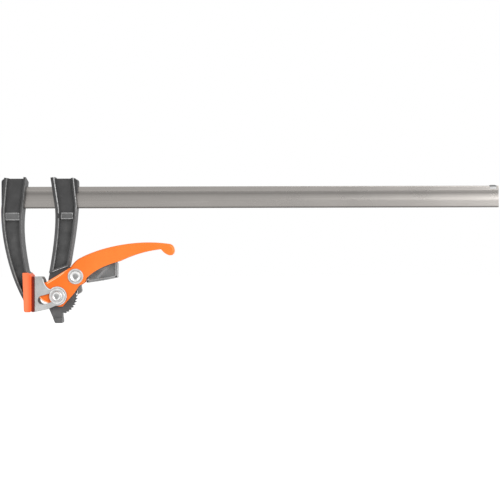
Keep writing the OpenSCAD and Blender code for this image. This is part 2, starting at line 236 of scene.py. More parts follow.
def use(piece: Piece) -> None:
    """Makes a piece the only selected and the active object.

    Args:
        piece: The piece.
    """
    bpy.ops.object.select_all(action="DESELECT")
    piece.select_set(True)
    bpy.context.view_layer.objects.active = piece


def apply_modifier(piece: Piece, kind: str, **values: object) -> None:
    """Adds a modifier to a piece, sets it and applies it.

    Args:
        piece: The piece.
        kind: Blender's name of the modifier's type.
        **values: The modifier's settings.
    """
    use(piece)
    bpy.ops.object.modifier_add(type=kind)
    modifier = piece.modifiers[-1]
    for name, value in values.items():
        setattr(modifier, name, value)
    bpy.ops.object.modifier_apply(modifier=modifier.name)


def slotted(piece: Piece) -> Piece:
    """Gives a new piece an empty material for each slot, which bevels and cuts then keep.

    Args:
        piece: The piece.

    Returns:
        The piece.
    """
    for _ in Slot:
        piece.data.materials.append(None)
    return piece


def paint(piece: Piece, slot: int, chosen: Callable[[Vector], bool] = bool) -> Piece:
    """Puts a piece's faces in a material slot.

    Args:
        piece: The piece.
        slot: The slot's number.
        chosen: A test of a face's normal. Every face passes if none is given.

    Returns:
        The piece.
    """
    for face in piece.data.polygons:
        if chosen(face.normal):
            face.material_index = slot
    return piece


def bevel_edges(
    piece: Piece, chosen: Callable[[bmesh.types.BMEdge, bmesh.types.BMLayerItem], bool],
    width: float, segments: int, slot: int, clamp: bool,
) -> None:
    """Bevels the edges of a piece that pass a test.

    Args:
        piece: The piece.
        chosen: A test of an edge and of the layer that numbers the points round a loft's ring.
        width: Width of the bevel.
        segments: Number of its steps.
        slot: Material slot of the new faces, or -1 for the neighbours' own.
        clamp: Whether the bevel stops where it would overlap.
    """
    use(piece)
    bpy.ops.object.mode_set(mode="EDIT")
    bpy.ops.mesh.select_mode(type="EDGE")
    bpy.ops.mesh.select_all(action="DESELECT")
    shape = bmesh.from_edit_mesh(piece.data)
    ring = shape.verts.layers.int["ring"]
    for edge in shape.edges:
        edge.select_set(chosen(edge, ring))
    bmesh.update_edit_mesh(piece.data)
    bpy.ops.mesh.bevel(offset=width * MM, segments=segments, material=slot, clamp_overlap=clamp)
    bpy.ops.mesh.select_mode(type="VERT")
    bpy.ops.object.mode_set(mode="OBJECT")


class Loft:
    """A closed body grown from a ring of points by extruding it from row to row."""

    def __init__(self, name: str, rows: Sequence[Row]) -> None:
        """Grows the body.

        Args:
            name: Name of the piece.
            rows: Rings of points in millimetres, each with as many points as the first.
        """
        bpy.ops.object.select_all(action="DESELECT")
        bpy.ops.mesh.primitive_circle_add(vertices=len(rows[0]), radius=MM)
        self.piece: Piece = slotted(bpy.context.active_object)
        self.piece.name = self.piece.data.name = name
        bpy.ops.object.mode_set(mode="EDIT")
        mesh = self.piece.data
        shape = bmesh.from_edit_mesh(mesh)
        ring = shape.verts.layers.int.new("ring")
        for i, vertex in enumerate(shape.verts):
            vertex[ring] = i
        bmesh.update_edit_mesh(mesh)
        self._place(rows[0])
        bpy.ops.mesh.select_all(action="SELECT")
        bpy.ops.mesh.edge_face_add()
        for row in rows[1:]:
            bpy.ops.mesh.extrude_region_move()
            self._place(row)
        bpy.ops.mesh.select_all(action="SELECT")
        bpy.ops.mesh.normals_make_consistent(inside=False)
        bpy.ops.object.mode_set(mode="OBJECT")

    def _place(self, row: Row) -> None:
        """Moves the selected ring to the points of a row.

        Args:
            row: The points.
        """
        mesh = self.piece.data
        shape = bmesh.from_edit_mesh(mesh)
        ring = shape.verts.layers.int["ring"]
        for vertex in shape.verts:
            if vertex.select or len(shape.verts) == len(row):
                vertex.co = row[vertex[ring]] * MM
        bmesh.update_edit_mesh(mesh)

    def bevel_lines(self, rings: set[int], width: float, segments: int, slot: int = -1) -> None:
        """Bevels the edges that run from row to row at some points of the ring.

        Args:
            rings: The points of the ring whose edges are bevelled.
            width: Width of the bevel.
            segments: Number of its steps.
            slot: Material slot of the new faces, or -1 for the neighbours' own.
        """

        def runs_along(edge: bmesh.types.BMEdge, ring: bmesh.types.BMLayerItem) -> bool:
            """Tells whether an edge joins two rows at one of the points."""
            a, b = (vertex[ring] for vertex in edge.verts)
            return a == b and a in rings

        bevel_edges(self.piece, runs_along, width, segments, slot, True)


def front_row(line: Line, y: float) -> Row:
    """Lays a flat line in a plane across the clamp."""
    return [Vector((x, y, z)) for x, z in line]


def plate(name: str, outline: Line, y0: float, y1: float) -> Piece:
    """Makes a plate with an outline in the side view, between two depths."""
    return Loft(name, [front_row(outline, y0), front_row(outline, y1)]).piece


def turned(name: str, at: Flat, profile: Line, steps: int = 48) -> Piece:
    """Turns a profile about an axis that runs across the clamp.

    Args:
        name: Name of the piece.
        at: The axis in the side view.
        profile: Pairs of a radius and a depth, from one end to the other.
        steps: Number of sides.

    Returns:
        The turned piece.
    """
    rows = []
    for radius, y in profile:
        circle = [polar(radius, 360 * k / steps, at) for k in range(steps)]
        rows.append(front_row(circle, y))
    return Loft(name, rows).piece


def bore(at: Flat, radius: float, steps: int = 48) -> Piece:
    """Makes the cutter for a round hole right across the clamp."""
    return turned("bore", at, [(radius, -ACROSS), (radius, ACROSS)], steps)


def head_profile(radius: float, dish: float) -> Line:
    """Gives a formed rivet head: pairs of a radius and a height above its seat.

    Args:
        radius: Radius of the head.
        dish: Size of the dish inside the raised ring, 1 for a plain head.

    Returns:
        The profile, from near the axis to the seat.
    """
    dish_line = [
        (0.2, 1.7), (0.34, 1.8), (0.42, 2.15), (0.5, 2.7), (0.56, 3.05), (0.63, 3.2), (0.68, 3.05),
        (0.71, 2.6), (0.73, 1.9), (0.75, 1.6),
    ]
    brim = [(0.6, 1.5), (0.3, 1.3), (0.1, 0.95), (0, 0.55), (0, 0)]
    return [(radius * dish * share, z) for share, z in dish_line] + [(radius - inset, z) for inset, z in brim]


def rivet(name: str, at: Flat, seat: float, head: float, shank: float, dish: float = 1) -> Piece:
    """Models a rivet with a head on each side.

    Args:
        name: Name of the piece.
        at: Its axis in the side view.
        seat: Half the distance between the seats of its heads.
        head: Radius of its heads.
        shank: Radius of its shank.
        dish: Size of the dish inside each head's raised ring.

    Returns:
        The rivet.
    """
    near = [(radius, -seat - height) for radius, height in head_profile(head, dish)]
    profile = near + [(shank, -seat), (shank, seat)] + [(radius, -y) for radius, y in reversed(near)]
    return turned(name, at, profile, 64)


def box(name: str, low: Point, high: Point) -> Piece:
    """Adds a block between two corners, with its place in its mesh.

    Args:
        name: Name of the piece.
        low: The corner with the lowest coordinates.
        high: The corner opposite.

    Returns:
        The block.
    """
    a, b = Vector(low), Vector(high)
    bpy.ops.object.select_all(action="DESELECT")
    bpy.ops.mesh.primitive_cube_add(size=1, location=(a + b) / 2 * MM, scale=(b - a) * MM)
    block = slotted(bpy.context.active_object)
    block.name = block.data.name = name
    bpy.ops.object.transform_apply(location=True, rotation=True, scale=True)
    return block


def merge(piece: Piece, others: Sequence[Piece], how: str = "UNION") -> None:
    """Joins other bodies to a piece, or cuts them out of it, and deletes them.

    Args:
        piece: The piece that stays.
        others: The bodies that go.
        how: Blender's name of the operation.
    """
    for other in others:
        apply_modifier(piece, "BOOLEAN", operation=how, object=other, solver="EXACT")
        bpy.data.objects.remove(other)


def lay_band(piece: Piece, line: Line, offsets: Flat, depth: float, slot: int) -> None:
    """Lays a thin band along a line on both side faces of a piece, in a material slot of its own.

    Args:
        piece: The piece.
        line: A line in the side view, counted from the pivot.
        offsets: How far the band's two edges lie to the left of the line.
        depth: Half the distance between the two faces.
        slot: The band's material slot.
    """
    proud, sunk = 0.03, 0.5
    outline = moved(beside(line, offsets[0]) + beside(line, offsets[1])[::-1], AT.pivot)
    for side in (-1, 1):
        band = plate("band", outline, side * (depth + proud), side * (depth - sunk))
        merge(piece, [paint(band, slot)])


def soften(piece: Piece, width: float, segments: int = 2, slot: int = -1, angle: float = 32) -> None:
    """Bevels a piece's sharp edges, and gives the new faces a material slot of their own if asked.

    Args:
        piece: The piece.
        width: Width of the bevels.
        segments: Number of their steps.
        slot: Material slot of the new faces, or -1 for the neighbours' own.
        angle: Edges flatter than this angle in degrees stay as they are.
    """
    apply_modifier(
        piece, "BEVEL", width=width * MM, segments=segments, limit_method="ANGLE",
        angle_limit=math.radians(angle), material=slot, use_clamp_overlap=True, miter_outer="MITER_ARC",
    )


def dress(
    piece: Piece, node: str, body: Body, finishes: Sequence[Material], smooth: float = 34,
) -> None:
    """Gives a finished piece its materials and ties it to the frame.

    Args:
        piece: The piece.
        node: The CAD node that it stands for.
        body: The body that it rides on.
        finishes: Its materials, in the order of its slots.
        smooth: Edges flatter than this angle are shaded smooth.
    """
    for i, finish in enumerate(finishes):
        piece.data.materials[i] = finish
    while len(piece.data.materials) > len(finishes):
        piece.data.materials.pop()
    use(piece)
    bpy.ops.object.shade_smooth_by_angle(angle=math.radians(smooth))
    apply_modifier(piece, "WEIGHTED_NORMAL", weight=50, keep_sharp=True)
    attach(piece, body.value)
    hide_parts(node)
    faces = len(piece.data.polygons)
    LOG.info("%s: %d faces, stands for %s, rides on %s", piece.name, faces, node, body.value)


# Finishes


def grey(level: float) -> Colour:
    """Gives a neutral colour."""
    return (level, level, level)


def neutral(stops: Stops) -> list[tuple[float, Colour]]:
    """Gives stops a neutral colour in place of each share."""
    return [(at, grey(share)) for at, share in stops]


class Tree:
    """The node tree of a material or of the world, with short ways to add and join nodes."""

    def __init__(self, owner: bpy.types.ID) -> None:
        """Empties the owner's tree.

        Args:
            owner: The material or the world.
        """
        owner.use_nodes = True
        self.tree = owner.node_tree
        self.tree.nodes.clear()

    @staticmethod
    def fill(node: Node, **values: object) -> None:
        """Sets values on a node's sockets, with underscores for the spaces in their names."""
        for name, value in values.items():
            node.inputs[name.replace("_", " ")].default_value = value

    def add(self, kind: str, settings: dict[str, object] | None = None, **sockets: object) -> Node:
        """Adds a node.

        Args:
            kind: Blender's name of the node's type.
            settings: Attributes of the node.
            **sockets: Values of its sockets.

        Returns:
            The node.
        """
        node = self.tree.nodes.new(kind)
        for name, value in (settings or {}).items():
            setattr(node, name, value)
        self.fill(node, **sockets)
        return node

    def join(self, source: Node, out: str, target: Node, into: str | int) -> None:
        """Links two sockets by their names, or the second one by its place."""
        self.tree.links.new(source.outputs[out], target.inputs[into])

    def show(self, lighting: Node, seen: Node, out: Node) -> None:
        """Gives an output one shader for the rays that light the object and another for those that show it.

        Args:
            lighting: The shader for rays that light the object.
            seen: The shader for rays of the camera, of reflections and of glass.
            out: The output node.
        """
        rays = self.add("ShaderNodeLightPath")
        total = rays.outputs["Is Camera Ray"]
        for name in ("Is Glossy Ray", "Is Transmission Ray"):
            both = self.add("ShaderNodeMath", {"operation": "ADD", "use_clamp": True})
            self.tree.links.new(total, both.inputs[0])
            self.tree.links.new(rays.outputs[name], both.inputs[1])
            total = both.outputs[0]
        mix = self.add("ShaderNodeMixShader")
        for source, socket in zip((total, lighting.outputs[0], seen.outputs[0]), mix.inputs):
            self.tree.links.new(source, socket)
        self.tree.links.new(mix.outputs[0], out.inputs["Surface"])


class Sheet(Tree):
    """A material with one shader, whose colour, gloss and relief come from textures."""

    def __init__(self, name: str) -> None:
        """Starts the material.

        Args:
            name: Name of the material.
        """
        self.material = bpy.data.materials.new(name)
        super().__init__(self.material)
        self.shader = self.add("ShaderNodeBsdfPrincipled")
        self.join(self.shader, "BSDF", self.add("ShaderNodeOutputMaterial"), "Surface")

    def place(self, scale: Sequence[float], centre: Sequence[float] = (0, 0, 0)) -> Node:
        """Reads the object's coordinates.

        Args:
            scale: Scale along each axis.
            centre: The place that they are counted from, in millimetres.

        Returns:
            The node that gives them.
        """
        coordinates = self.add("ShaderNodeTexCoord")
        shift = [-c * MM * s for c, s in zip(centre, scale)]
        mapping = self.add("ShaderNodeMapping", Location=shift, Scale=scale)
        self.join(coordinates, "Object", mapping, "Vector")
        return mapping

    def noise(self, place: Node, scale: float, detail: float = 3, rough: float = 0.5) -> Node:
        """Adds a noise texture.

        Args:
            place: The coordinates.
            scale: Its scale.
            detail: Number of its finer layers.
            rough: Share of each finer layer.

        Returns:
            The texture.
        """
        texture = self.add("ShaderNodeTexNoise", Scale=scale, Detail=detail, Roughness=rough)
        self.join(place, "Vector", texture, "Vector")
        return texture

    def ramp(self, source: Node, out: str, stops: Sequence[tuple[float, Colour]]) -> Node:
        """Turns a value into a colour.

        Args:
            source: The node whose value is read.
            out: Name of its socket.
            stops: Places from 0 to 1, each with a colour.

        Returns:
            The colour ramp.
        """
        ramp = self.add("ShaderNodeValToRGB")
        points = ramp.color_ramp.elements
        while len(points) < len(stops):
            points.new(0.5)
        for point, (at, colour) in zip(points, stops):
            point.position = at
            point.color = (*colour, 1)
        self.join(source, out, ramp, "Fac")
        return ramp

    def along(self, axis: str, low: float, high: float) -> Node:
        """Reads how far a point lies along an axis.

        Args:
            axis: The axis.
            low: The place in millimetres that gives 0.
            high: The place that gives 1.

        Returns:
            The node that gives it.
        """
        coordinates = self.add("ShaderNodeTexCoord")
        split = self.add("ShaderNodeSeparateXYZ")
        self.join(coordinates, "Object", split, "Vector")
        scale = self.add("ShaderNodeMapRange", From_Min=low * MM, From_Max=high * MM)
        self.join(split, axis, scale, "Value")
        return scale

    def tone(self, colour: Node, place: Node, stops: Sequence[tuple[float, Colour]]) -> None:
        """Gives the shader a ramp's colour, multiplied by other colours along an axis.

        Args:
            colour: The colour ramp.
            place: The node that gives places from 0 to 1 along the axis.
            stops: Places, each with its colour.
        """
        tint = self.ramp(place, "Result", stops)
        product = self.add("ShaderNodeVectorMath", {"operation": "MULTIPLY"})
        for ramp, socket in zip((colour, tint), product.inputs):
            self.tree.links.new(ramp.outputs["Color"], socket)
        self.join(product, "Vector", self.shader, "Base Color")

    def levels(self, colour: Node, low: float, high: float, stops: Stops) -> None:
        """Gives the shader a ramp's colour, with a share of it left at each stop between two heights."""
        self.tone(colour, self.along("Z", low, high), neutral(stops))

    def spread(self, source: Node, out: str, low: float, high: float, into: str) -> None:
        """Lets a texture move a number on the shader between two values.

        Args:
            source: The texture.
            out: Name of its socket.
            low: The number where the texture is 0.
            high: The number where it is 1.
            into: The shader's socket.
        """
        scale = self.add("ShaderNodeMapRange", To_Min=low, To_Max=high)
        self.join(source, out, scale, "Value")
        self.join(scale, "Result", self.shader, into)

    def bump(self, source: Node, out: str, strength: float, depth: float) -> None:
        """Raises the surface by a texture.

        Args:
            source: The texture.
            out: Name of its socket.
            strength: Share of the relief that shows.
            depth: Height of the relief in millimetres.
        """
        node = self.add("ShaderNodeBump", Strength=strength, Distance=depth * MM)
        self.join(source, out, node, "Height")
        self.join(node, "Normal", self.shader, "Normal")

    def shade(self, **values: object) -> None:
        """Sets values on the shader."""
        self.fill(self.shader, **values)


@dataclass(frozen=True)
class DrawnSteel:
    """Bright drawn bar with fine lines along its length; by height its colour holds painted shade along its
    lower edge and up the groove to its upper step, and a painted highlight along its top edge.
    """

    name: str = "drawn_steel"
    dark: Colour = (0.31, 0.292, 0.276)
    light: Colour = (0.35, 0.332, 0.314)
    roughness: tuple[float, float] = (0.22, 0.34)
    # Shares of the colour by height, from the bottom: painted shade on the lower edge, painted shade
    # deepening up the groove to its upper step, and a painted highlight on the top edge.
    stops: Stops = (
        (0.0, 0.36), (0.045, 0.4), (0.075, 0.98), (0.315, 1.0), (0.345, 0.94), (0.385, 0.97), (0.431, 0.95),
        (0.477, 0.92), (0.523, 0.89), (0.569, 0.83), (0.616, 0.74), (0.66, 0.6), (0.708, 0.6), (0.755, 0.68),
        (0.775, 0.78), (0.79, 0.97), (0.95, 0.97), (1.0, 1.08),
    )

    def make(self) -> Material:
        """Builds the material.

        Returns:
            The material.
        """
        sheet = Sheet(self.name)
        streaks = sheet.noise(sheet.place((4, 90, 420)), 5, 4, 0.6)
        clouds = sheet.noise(sheet.place((1, 1, 1)), 14, 3)
        colour = sheet.ramp(streaks, "Fac", [(0.3, self.dark), (0.7, self.light)])
        sheet.levels(colour, AT.rail_z0, AT.rail_z1, self.stops)
        sheet.spread(clouds, "Fac", *self.roughness, "Roughness")
        sheet.shade(Metallic=1.0)
        sheet.bump(streaks, "Fac", 0.25, 0.03)
        return sheet.material


@dataclass(frozen=True)
class CastCoat:
    """Dark coat over a sand casting: mottled, grainy, a little uneven in gloss."""

    name: str = "cast_coat"
    dark: Colour = (0.075, 0.074, 0.075)
    light: Colour = (0.125, 0.124, 0.125)
    grain: float = 900
    roughness: tuple[float, float] = (0.42, 0.6)
    metallic: float = 0.0
    gloss: float = 0.35
    # By height the coat is lightest at the foot, darker up the legs and darkest over the sleeve.
    stops: Stops = ((0.07, 1.0), (0.14, 0.68), (0.745, 0.66), (0.755, 0.42), (1.0, 0.4))

    def make(self) -> Material:
        """Builds the material.

        Returns:
            The material.
        """
        sheet = Sheet(self.name)
        place = sheet.place((1, 1, 1))
        mottle = sheet.noise(place, 55, 5, 0.6)
        grain = sheet.noise(place, self.grain, 3, 0.6)
        colour = sheet.ramp(mottle, "Fac", [(0.3, self.dark), (0.72, self.light)])
        sheet.levels(colour, AT.sole, AT.crown, self.stops)
        sheet.spread(mottle, "Fac", *self.roughness, "Roughness")
        sheet.shade(Metallic=self.metallic, Specular_IOR_Level=self.gloss)
        sheet.bump(grain, "Fac", 0.5, 0.12)
        return sheet.material


@dataclass(frozen=True)
class RubbedEdgeAndHighlight:
    """An edge lighter than the coat: rubbed through here and there, and a painted highlight."""

    name: str
    coat: Colour = (0.10, 0.10, 0.10)
    bare: Colour = (0.22, 0.22, 0.215)
    patch: float = 320
    stops: Stops = EVEN

    def make(self) -> Material:
        """Builds the material.

        Returns:
            The material.
        """
        sheet = Sheet(self.name)
        patches = sheet.noise(sheet.place((1, 1, 1)), self.patch, 4, 0.65)
        colour = sheet.ramp(patches, "Fac", [(0.36, self.coat), (0.55, self.bare)])
        sheet.levels(colour, AT.sole, AT.crown, self.stops)
        sheet.spread(patches, "Fac", 0.5, 0.38, "Roughness")
        sheet.shade(Metallic=0.35)
        return sheet.material


@dataclass(frozen=True)
class SatinCoat:
    """An even sprayed coat with a faint orange peel, a little deeper in colour at one end; on the cap and the
    pad that deeper end is painted shade.
    """

    name: str
    colour: Colour
    shade: Colour
    roughness: tuple[float, float] = (0.34, 0.44)
    peel: float = 420
    depth: float = 0.035
    coat: float = 0.05
    gloss: float = 0.3
    ends: tuple[float, float] = (0, 1000)
    deep: Colour = (1, 1, 1)

    def make(self) -> Material:
        """Builds the material.

        Returns:
            The material.
        """
        sheet = Sheet(self.name)
        place = sheet.place((1, 1, 1))
        clouds = sheet.noise(place, 16, 3)
        peel = sheet.noise(place, self.peel, 2)
        colour = sheet.ramp(clouds, "Fac", [(0.3, self.shade), (0.65, self.colour)])
        sheet.tone(colour, sheet.along("X", *self.ends), [(0, self.deep), (1, grey(1))])
        sheet.spread(clouds, "Fac", *self.roughness, "Roughness")
        sheet.shade(Coat_Weight=self.coat, Coat_Roughness=0.25, Specular_IOR_Level=self.gloss)
        sheet.bump(peel, "Fac", 0.3, self.depth)
        return sheet.material


@dataclass(frozen=True)
class ZincSheet:
    """Dull zinc plate on pressed sheet, with a faint spangle, and darker towards the top: painted shade."""

    name: str = "zinc_sheet"
    dark: Colour = (0.40, 0.41, 0.405)
    light: Colour = (0.51, 0.515, 0.51)
    heights: Flat = (-28, 22)
    # Shares of the colour by height: darker towards the top, painted shade.
    stops: Stops = ((0.0, 1.0), (0.35, 0.97), (0.7, 0.86), (1.0, 0.84))

    def make(self) -> Material:
        """Builds the material.

        Returns:
            The material.
        """
        sheet = Sheet(self.name)
        place = sheet.place((1, 1, 1))
        spangle = sheet.add("ShaderNodeTexVoronoi", {"feature": "SMOOTH_F1"}, Scale=210.0)
        sheet.join(place, "Vector", spangle, "Vector")
        clouds = sheet.noise(place, 70, 5, 0.6)
        colour = sheet.ramp(clouds, "Fac", [(0.32, self.dark), (0.68, self.light)])
        sheet.levels(colour, *self.heights, self.stops)
        sheet.spread(spangle, "Distance", 0.36, 0.52, "Roughness")
        sheet.shade(Metallic=0.75)
        sheet.bump(clouds, "Fac", 0.15, 0.06)
        return sheet.material


@dataclass(frozen=True)
class TurnedSteel:
    """Bright steel with the fine rings of a lathe or of a rivet die."""

    name: str
    axis: Flat
    dark: Colour = (0.55, 0.55, 0.55)
    light: Colour = (0.82, 0.82, 0.81)
    roughness: tuple[float, float] = (0.3, 0.42)
    reach: float = 12
    # Shares of the colour by distance from the axis; on the rivets and washers these are painted highlights
    # and painted shade.
    zones: Stops = EVEN

    def make(self) -> Material:
        """Builds the material.

        Returns:
            The material.
        """
        sheet = Sheet(self.name)
        place = sheet.place((1, 1, 1), (self.axis[0], 0, self.axis[1]))
        kind = {"wave_type": "RINGS", "rings_direction": "Y"}
        rings = sheet.add("ShaderNodeTexWave", kind, Scale=420.0, Distortion=1.2, Detail=2.0)
        sheet.join(place, "Vector", rings, "Vector")
        clouds = sheet.noise(place, 160, 4)
        colour = sheet.ramp(clouds, "Fac", [(0.3, self.dark), (0.66, self.light)])
        flat = sheet.add("ShaderNodeVectorMath", {"operation": "MULTIPLY"})
        flat.inputs[1].default_value = (1, 0, 1)
        sheet.join(place, "Vector", flat, "Vector")
        radius = sheet.add("ShaderNodeVectorMath", {"operation": "LENGTH"})
        sheet.join(flat, "Vector", radius, "Vector")
        scale = sheet.add("ShaderNodeMapRange", From_Min=0, From_Max=self.reach * MM)
        sheet.join(radius, "Value", scale, "Value")
        sheet.tone(colour, scale, neutral(self.zones))
        sheet.spread(clouds, "Fac", *self.roughness, "Roughness")
        sheet.shade(Metallic=1.0)
        sheet.bump(rings, "Fac", 0.12, 0.03)
        return sheet.material


class Finishes:
    """Makes each finish that both castings share once."""

    _made: dict[str, Material] = {}

    @classmethod
    def once(cls, finish: CastCoat | RubbedEdgeAndHighlight) -> Material:
        """Builds a finish, or gives the one already built under its name.

        Args:
            finish: The finish.

        Returns:
            Its material.
        """
        if finish.name not in cls._made:
            cls._made[finish.name] = finish.make()
        return cls._made[finish.name]

    @classmethod
    def casting(cls, edge: RubbedEdgeAndHighlight, rim: RubbedEdgeAndHighlight) -> list[Material]:
        """Gives a casting's finishes in the order of the slots.

        Args:
            edge: The edges of its left flange, rubbed and with a painted highlight.
            rim: The edges of its right flange, rubbed and with a painted highlight.

        Returns:
            The finishes.
        """
        # The block's faces and edges are lighter than the coat, rubbed and with a painted highlight; the
        # right flange's flank is much darker: painted shade.
        highlight_finish = CastCoat("block_wear_and_highlight", grey(0.08), grey(0.14), metallic=0.1, stops=EVEN)
        bright = RubbedEdgeAndHighlight("block_edge_wear_and_highlight", grey(0.16), grey(0.5), 260)
        web = CastCoat("web_coat", grey(0.058), grey(0.145))
        flank = CastCoat("flank_painted_shade", grey(0.045), grey(0.078), stops=EVEN)
        return [cls.once(finish) for finish in (CastCoat(), edge, highlight_finish, bright, web, rim, flank)]


# Sub-assemblies


@dataclass
class Rail:
    """The drawn bar, with a groove in each side, and the stop pressed into its far end."""

    start: float = -41.4
    end: float = 667.4
    stop_start: float = 654.6
    stop_end: float = 664.2
    groove: float = 0.9
    hollow: float = 0.35
    groove_steps: int = 12
    lower_band: float = 11
    upper_band: float = 7
    corner: float = 1.0
    seat: float = 5

    def section(self, x: float) -> Row:
        """Gives the bar's section at a place along it, with each groove's floor a little hollow.

        Args:
            x: The place.

        Returns:
            The section's ring.
        """
        half, height = AT.rail_half, AT.rail_z1 - AT.rail_z0
        low, high = self.lower_band + 1, height - self.upper_band - 0.3
        side = [(half, 0), (half, self.lower_band - 0.8)]
        for t in (i / self.groove_steps for i in range(self.groove_steps + 1)):
            depth = 0.2 + (self.groove - 0.4) * t + self.hollow * math.sin(math.pi * t)
            side.append((half - depth, low + (high - low) * t))
        side += [(half, height - self.upper_band), (half, height)]
        around = side + [(-y, z) for y, z in reversed(side)]
        return [Vector((x, y, AT.rail_z0 + z)) for y, z in around]

    def bar(self) -> Piece:
        """Models the bar, whose far end is sawn.

        Returns:
            The bar, with its sawn faces in slot 1.
        """
        ends = [self.section(self.start), self.section(self.end)]
        half = len(ends[0]) // 2
        loft = Loft("rail_bar", ends)
        loft.bevel_lines({0, half - 1, half, 2 * half - 1}, self.corner, 4)
        brinks = {1, 2, half - 3, half - 2}
        loft.bevel_lines(brinks | {2 * half - 1 - i for i in brinks}, 0.25, 2)
        piece, top = loft.piece, AT.rail_z1
        notch = box("notch", (self.stop_start, -6, top - self.seat), (self.stop_end, 6, top + 2))
        merge(piece, [notch], "DIFFERENCE")
        soften(piece, 0.18, 2, angle=60)
        for face in piece.data.polygons:
            face.material_index = int(abs(face.normal.x) > 0.95 and face.center.x > self.stop_end * MM)
        return piece

    def stop(self) -> Piece:
        """Models the stop.

        Returns:
            The stop.
        """
        x0, x1, top = self.stop_start, self.stop_end, AT.rail_z1
        outline = [(x0, top - self.seat), (x1, top - self.seat), (x1, top + 0.2)]
        outline += [(x0 + 7.2, top + 1), (x0 + 1, top + 1), (x0, top)]
        piece = plate("end_stop", outline, -AT.rail_half, AT.rail_half)
        soften(piece, 0.35, 3)
        return piece

    def build(self) -> None:
        """Models and dresses the bar and its stop."""
        steel = DrawnSteel().make()
        # The stop is much darker where it stands at and above the rail's top: painted shade.
        top = ((0.915, 1.0), (0.925, 0.3), (1.0, 0.25))
        dark = CastCoat("stop_steel_shaded_top", grey(0.3), grey(0.4), 500, (0.3, 0.45), 0.9, stops=top).make()
        sawn = CastCoat("sawn_steel", grey(0.36), grey(0.44), 500, (0.45, 0.6), 0.9).make()
        dress(self.bar(), "rail", Body.ROOT, [steel, sawn])
        dress(self.stop(), "rail_end_stop", Body.ROOT, [dark])


@dataclass
class Casting:
    """What both castings share: two drafted flanges, a sleeve, a stepped block and a web.

    The lines left and right are the flanges' outer edges, from the top down.
    """

    left: Line
    right: Line
    half_width: float = 12
    sleeve_half: float = 7.5
    web_half: float = 3.75
    rim: float = 3.2
    root: float = 4.6
    left_rim: float = 4.6
    left_root: float = 5.2
    sleeve_top: float = 162.4
    sleeve_bottom: float = 112.7
    step: float = 3.2
    block_half: float = 9.5

    def __post_init__(self) -> None:
        """Lays the points of both edges at even steps."""
        self.left, self.right = resample(self.left, self.step), resample(self.right, self.step)

    def flange(self, name: str, side: int) -> Piece:
        """Models one flange, whose rim is narrower than its root.

        Args:
            name: Name of the body.
            side: 1 for the left flange and -1 for the right one.

        Returns:
            The flange, with its lighter edges, rubbed and with a painted highlight, and a right one's flank
            in painted shade, in slots of their own.
        """
        outer = self.left if side > 0 else self.right
        rim, root = (self.left_rim, self.left_root) if side > 0 else (self.rim, self.root)
        rows = []
        for a, b, c in zip(outer, beside(outer, side * rim), beside(outer, side * root)):
            half = self.sleeve_half if c[1] > self.sleeve_bottom else self.web_half
            stations = [
                (a, -self.half_width), (b, -self.half_width), (c, -half + 0.2),
                (c, half - 0.2), (b, self.half_width), (a, self.half_width),
            ]
            rows.append([Vector((p[0], y, p[1])) for p, y in stations])
        loft = Loft(name, rows)
        # The left flange's rim edge and the right one's outer edge take lighter finishes: rubbed wear and a
        # painted highlight.
        if side > 0:
            loft.bevel_lines({1, 4}, 1.4, 2, Slot.EDGE)
            loft.bevel_lines({0, 5}, 0.7, 3)
        else:
            loft.bevel_lines({1, 4}, 0.8, 2)
            loft.bevel_lines({0, 5}, 0.8, 3, Slot.RIM)
            # Faces of the right flange that look towards the rail's far end take a much darker finish:
            # painted shade.
            paint(loft.piece, Slot.FLANK, lambda normal: normal.x > 0.5 and abs(normal.y) < 0.05)
        return loft.piece

    def slab(self, top: float, bottom: float, half: float) -> Piece:
        """Models a solid part between the flanges.

        Args:
            top: Its upper height.
            bottom: Its lower height.
            half: Half its width across the clamp.

        Returns:
            The part.
        """
        left = between_heights(beside(self.left, 1.0), top, bottom)
        right = between_heights(beside(self.right, -1.0), top, bottom)
        return plate("slab", left + right[::-1], -half, half)

    def pocket(self, gap: float) -> Piece:
        """Makes the cutter for the rail's passage."""
        half = AT.rail_half + gap
        return box("passage", (-80, -half, AT.rail_z0 - gap), (120, half, AT.rail_z1 + gap))

    def nose(self, x: float, way: int, bottom: float) -> Piece:
        """Models a sleeve's nose beyond a flange.

        Args:
            x: Place of its end along the rail.
            way: 1 where the flange lies at higher x, -1 at lower.
            bottom: Height of its underside.

        Returns:
            The nose.
        """
        top, corner = self.sleeve_top - 0.4, 4.5
        outline = [(x + way * 8.4, bottom), (x + way * 8.4, top)]
        outline += arc((x + way * corner, top - corner), corner, 90, 90 + way * 90, 8) + [(x, bottom)]
        piece = plate("nose", outline, -self.sleeve_half, self.sleeve_half)
        soften(piece, 0.7, 3, angle=50)
        return piece

    def block(self, x: float, ends: Flat, drop: float) -> Piece:
        """Models the stepped block below the sleeve, lighter than the coat all over and most at its edges:
        rubbed wear and a painted highlight.

        Args:
            x: Place along the rail that its ends are counted from.
            ends: Where it starts and ends.
            drop: How far it reaches below the sleeve.

        Returns:
            The block.
        """
        half, base = self.block_half, self.sleeve_bottom
        piece = box("block", (x + ends[0], -half, base - drop), (x + ends[1], half, base + 1))
        paint(piece, Slot.FACE)
        soften(piece, 0.9, 2, Slot.BLOCK_EDGE)
        return paint(piece, Slot.COAT, lambda normal: normal.x < -0.5)


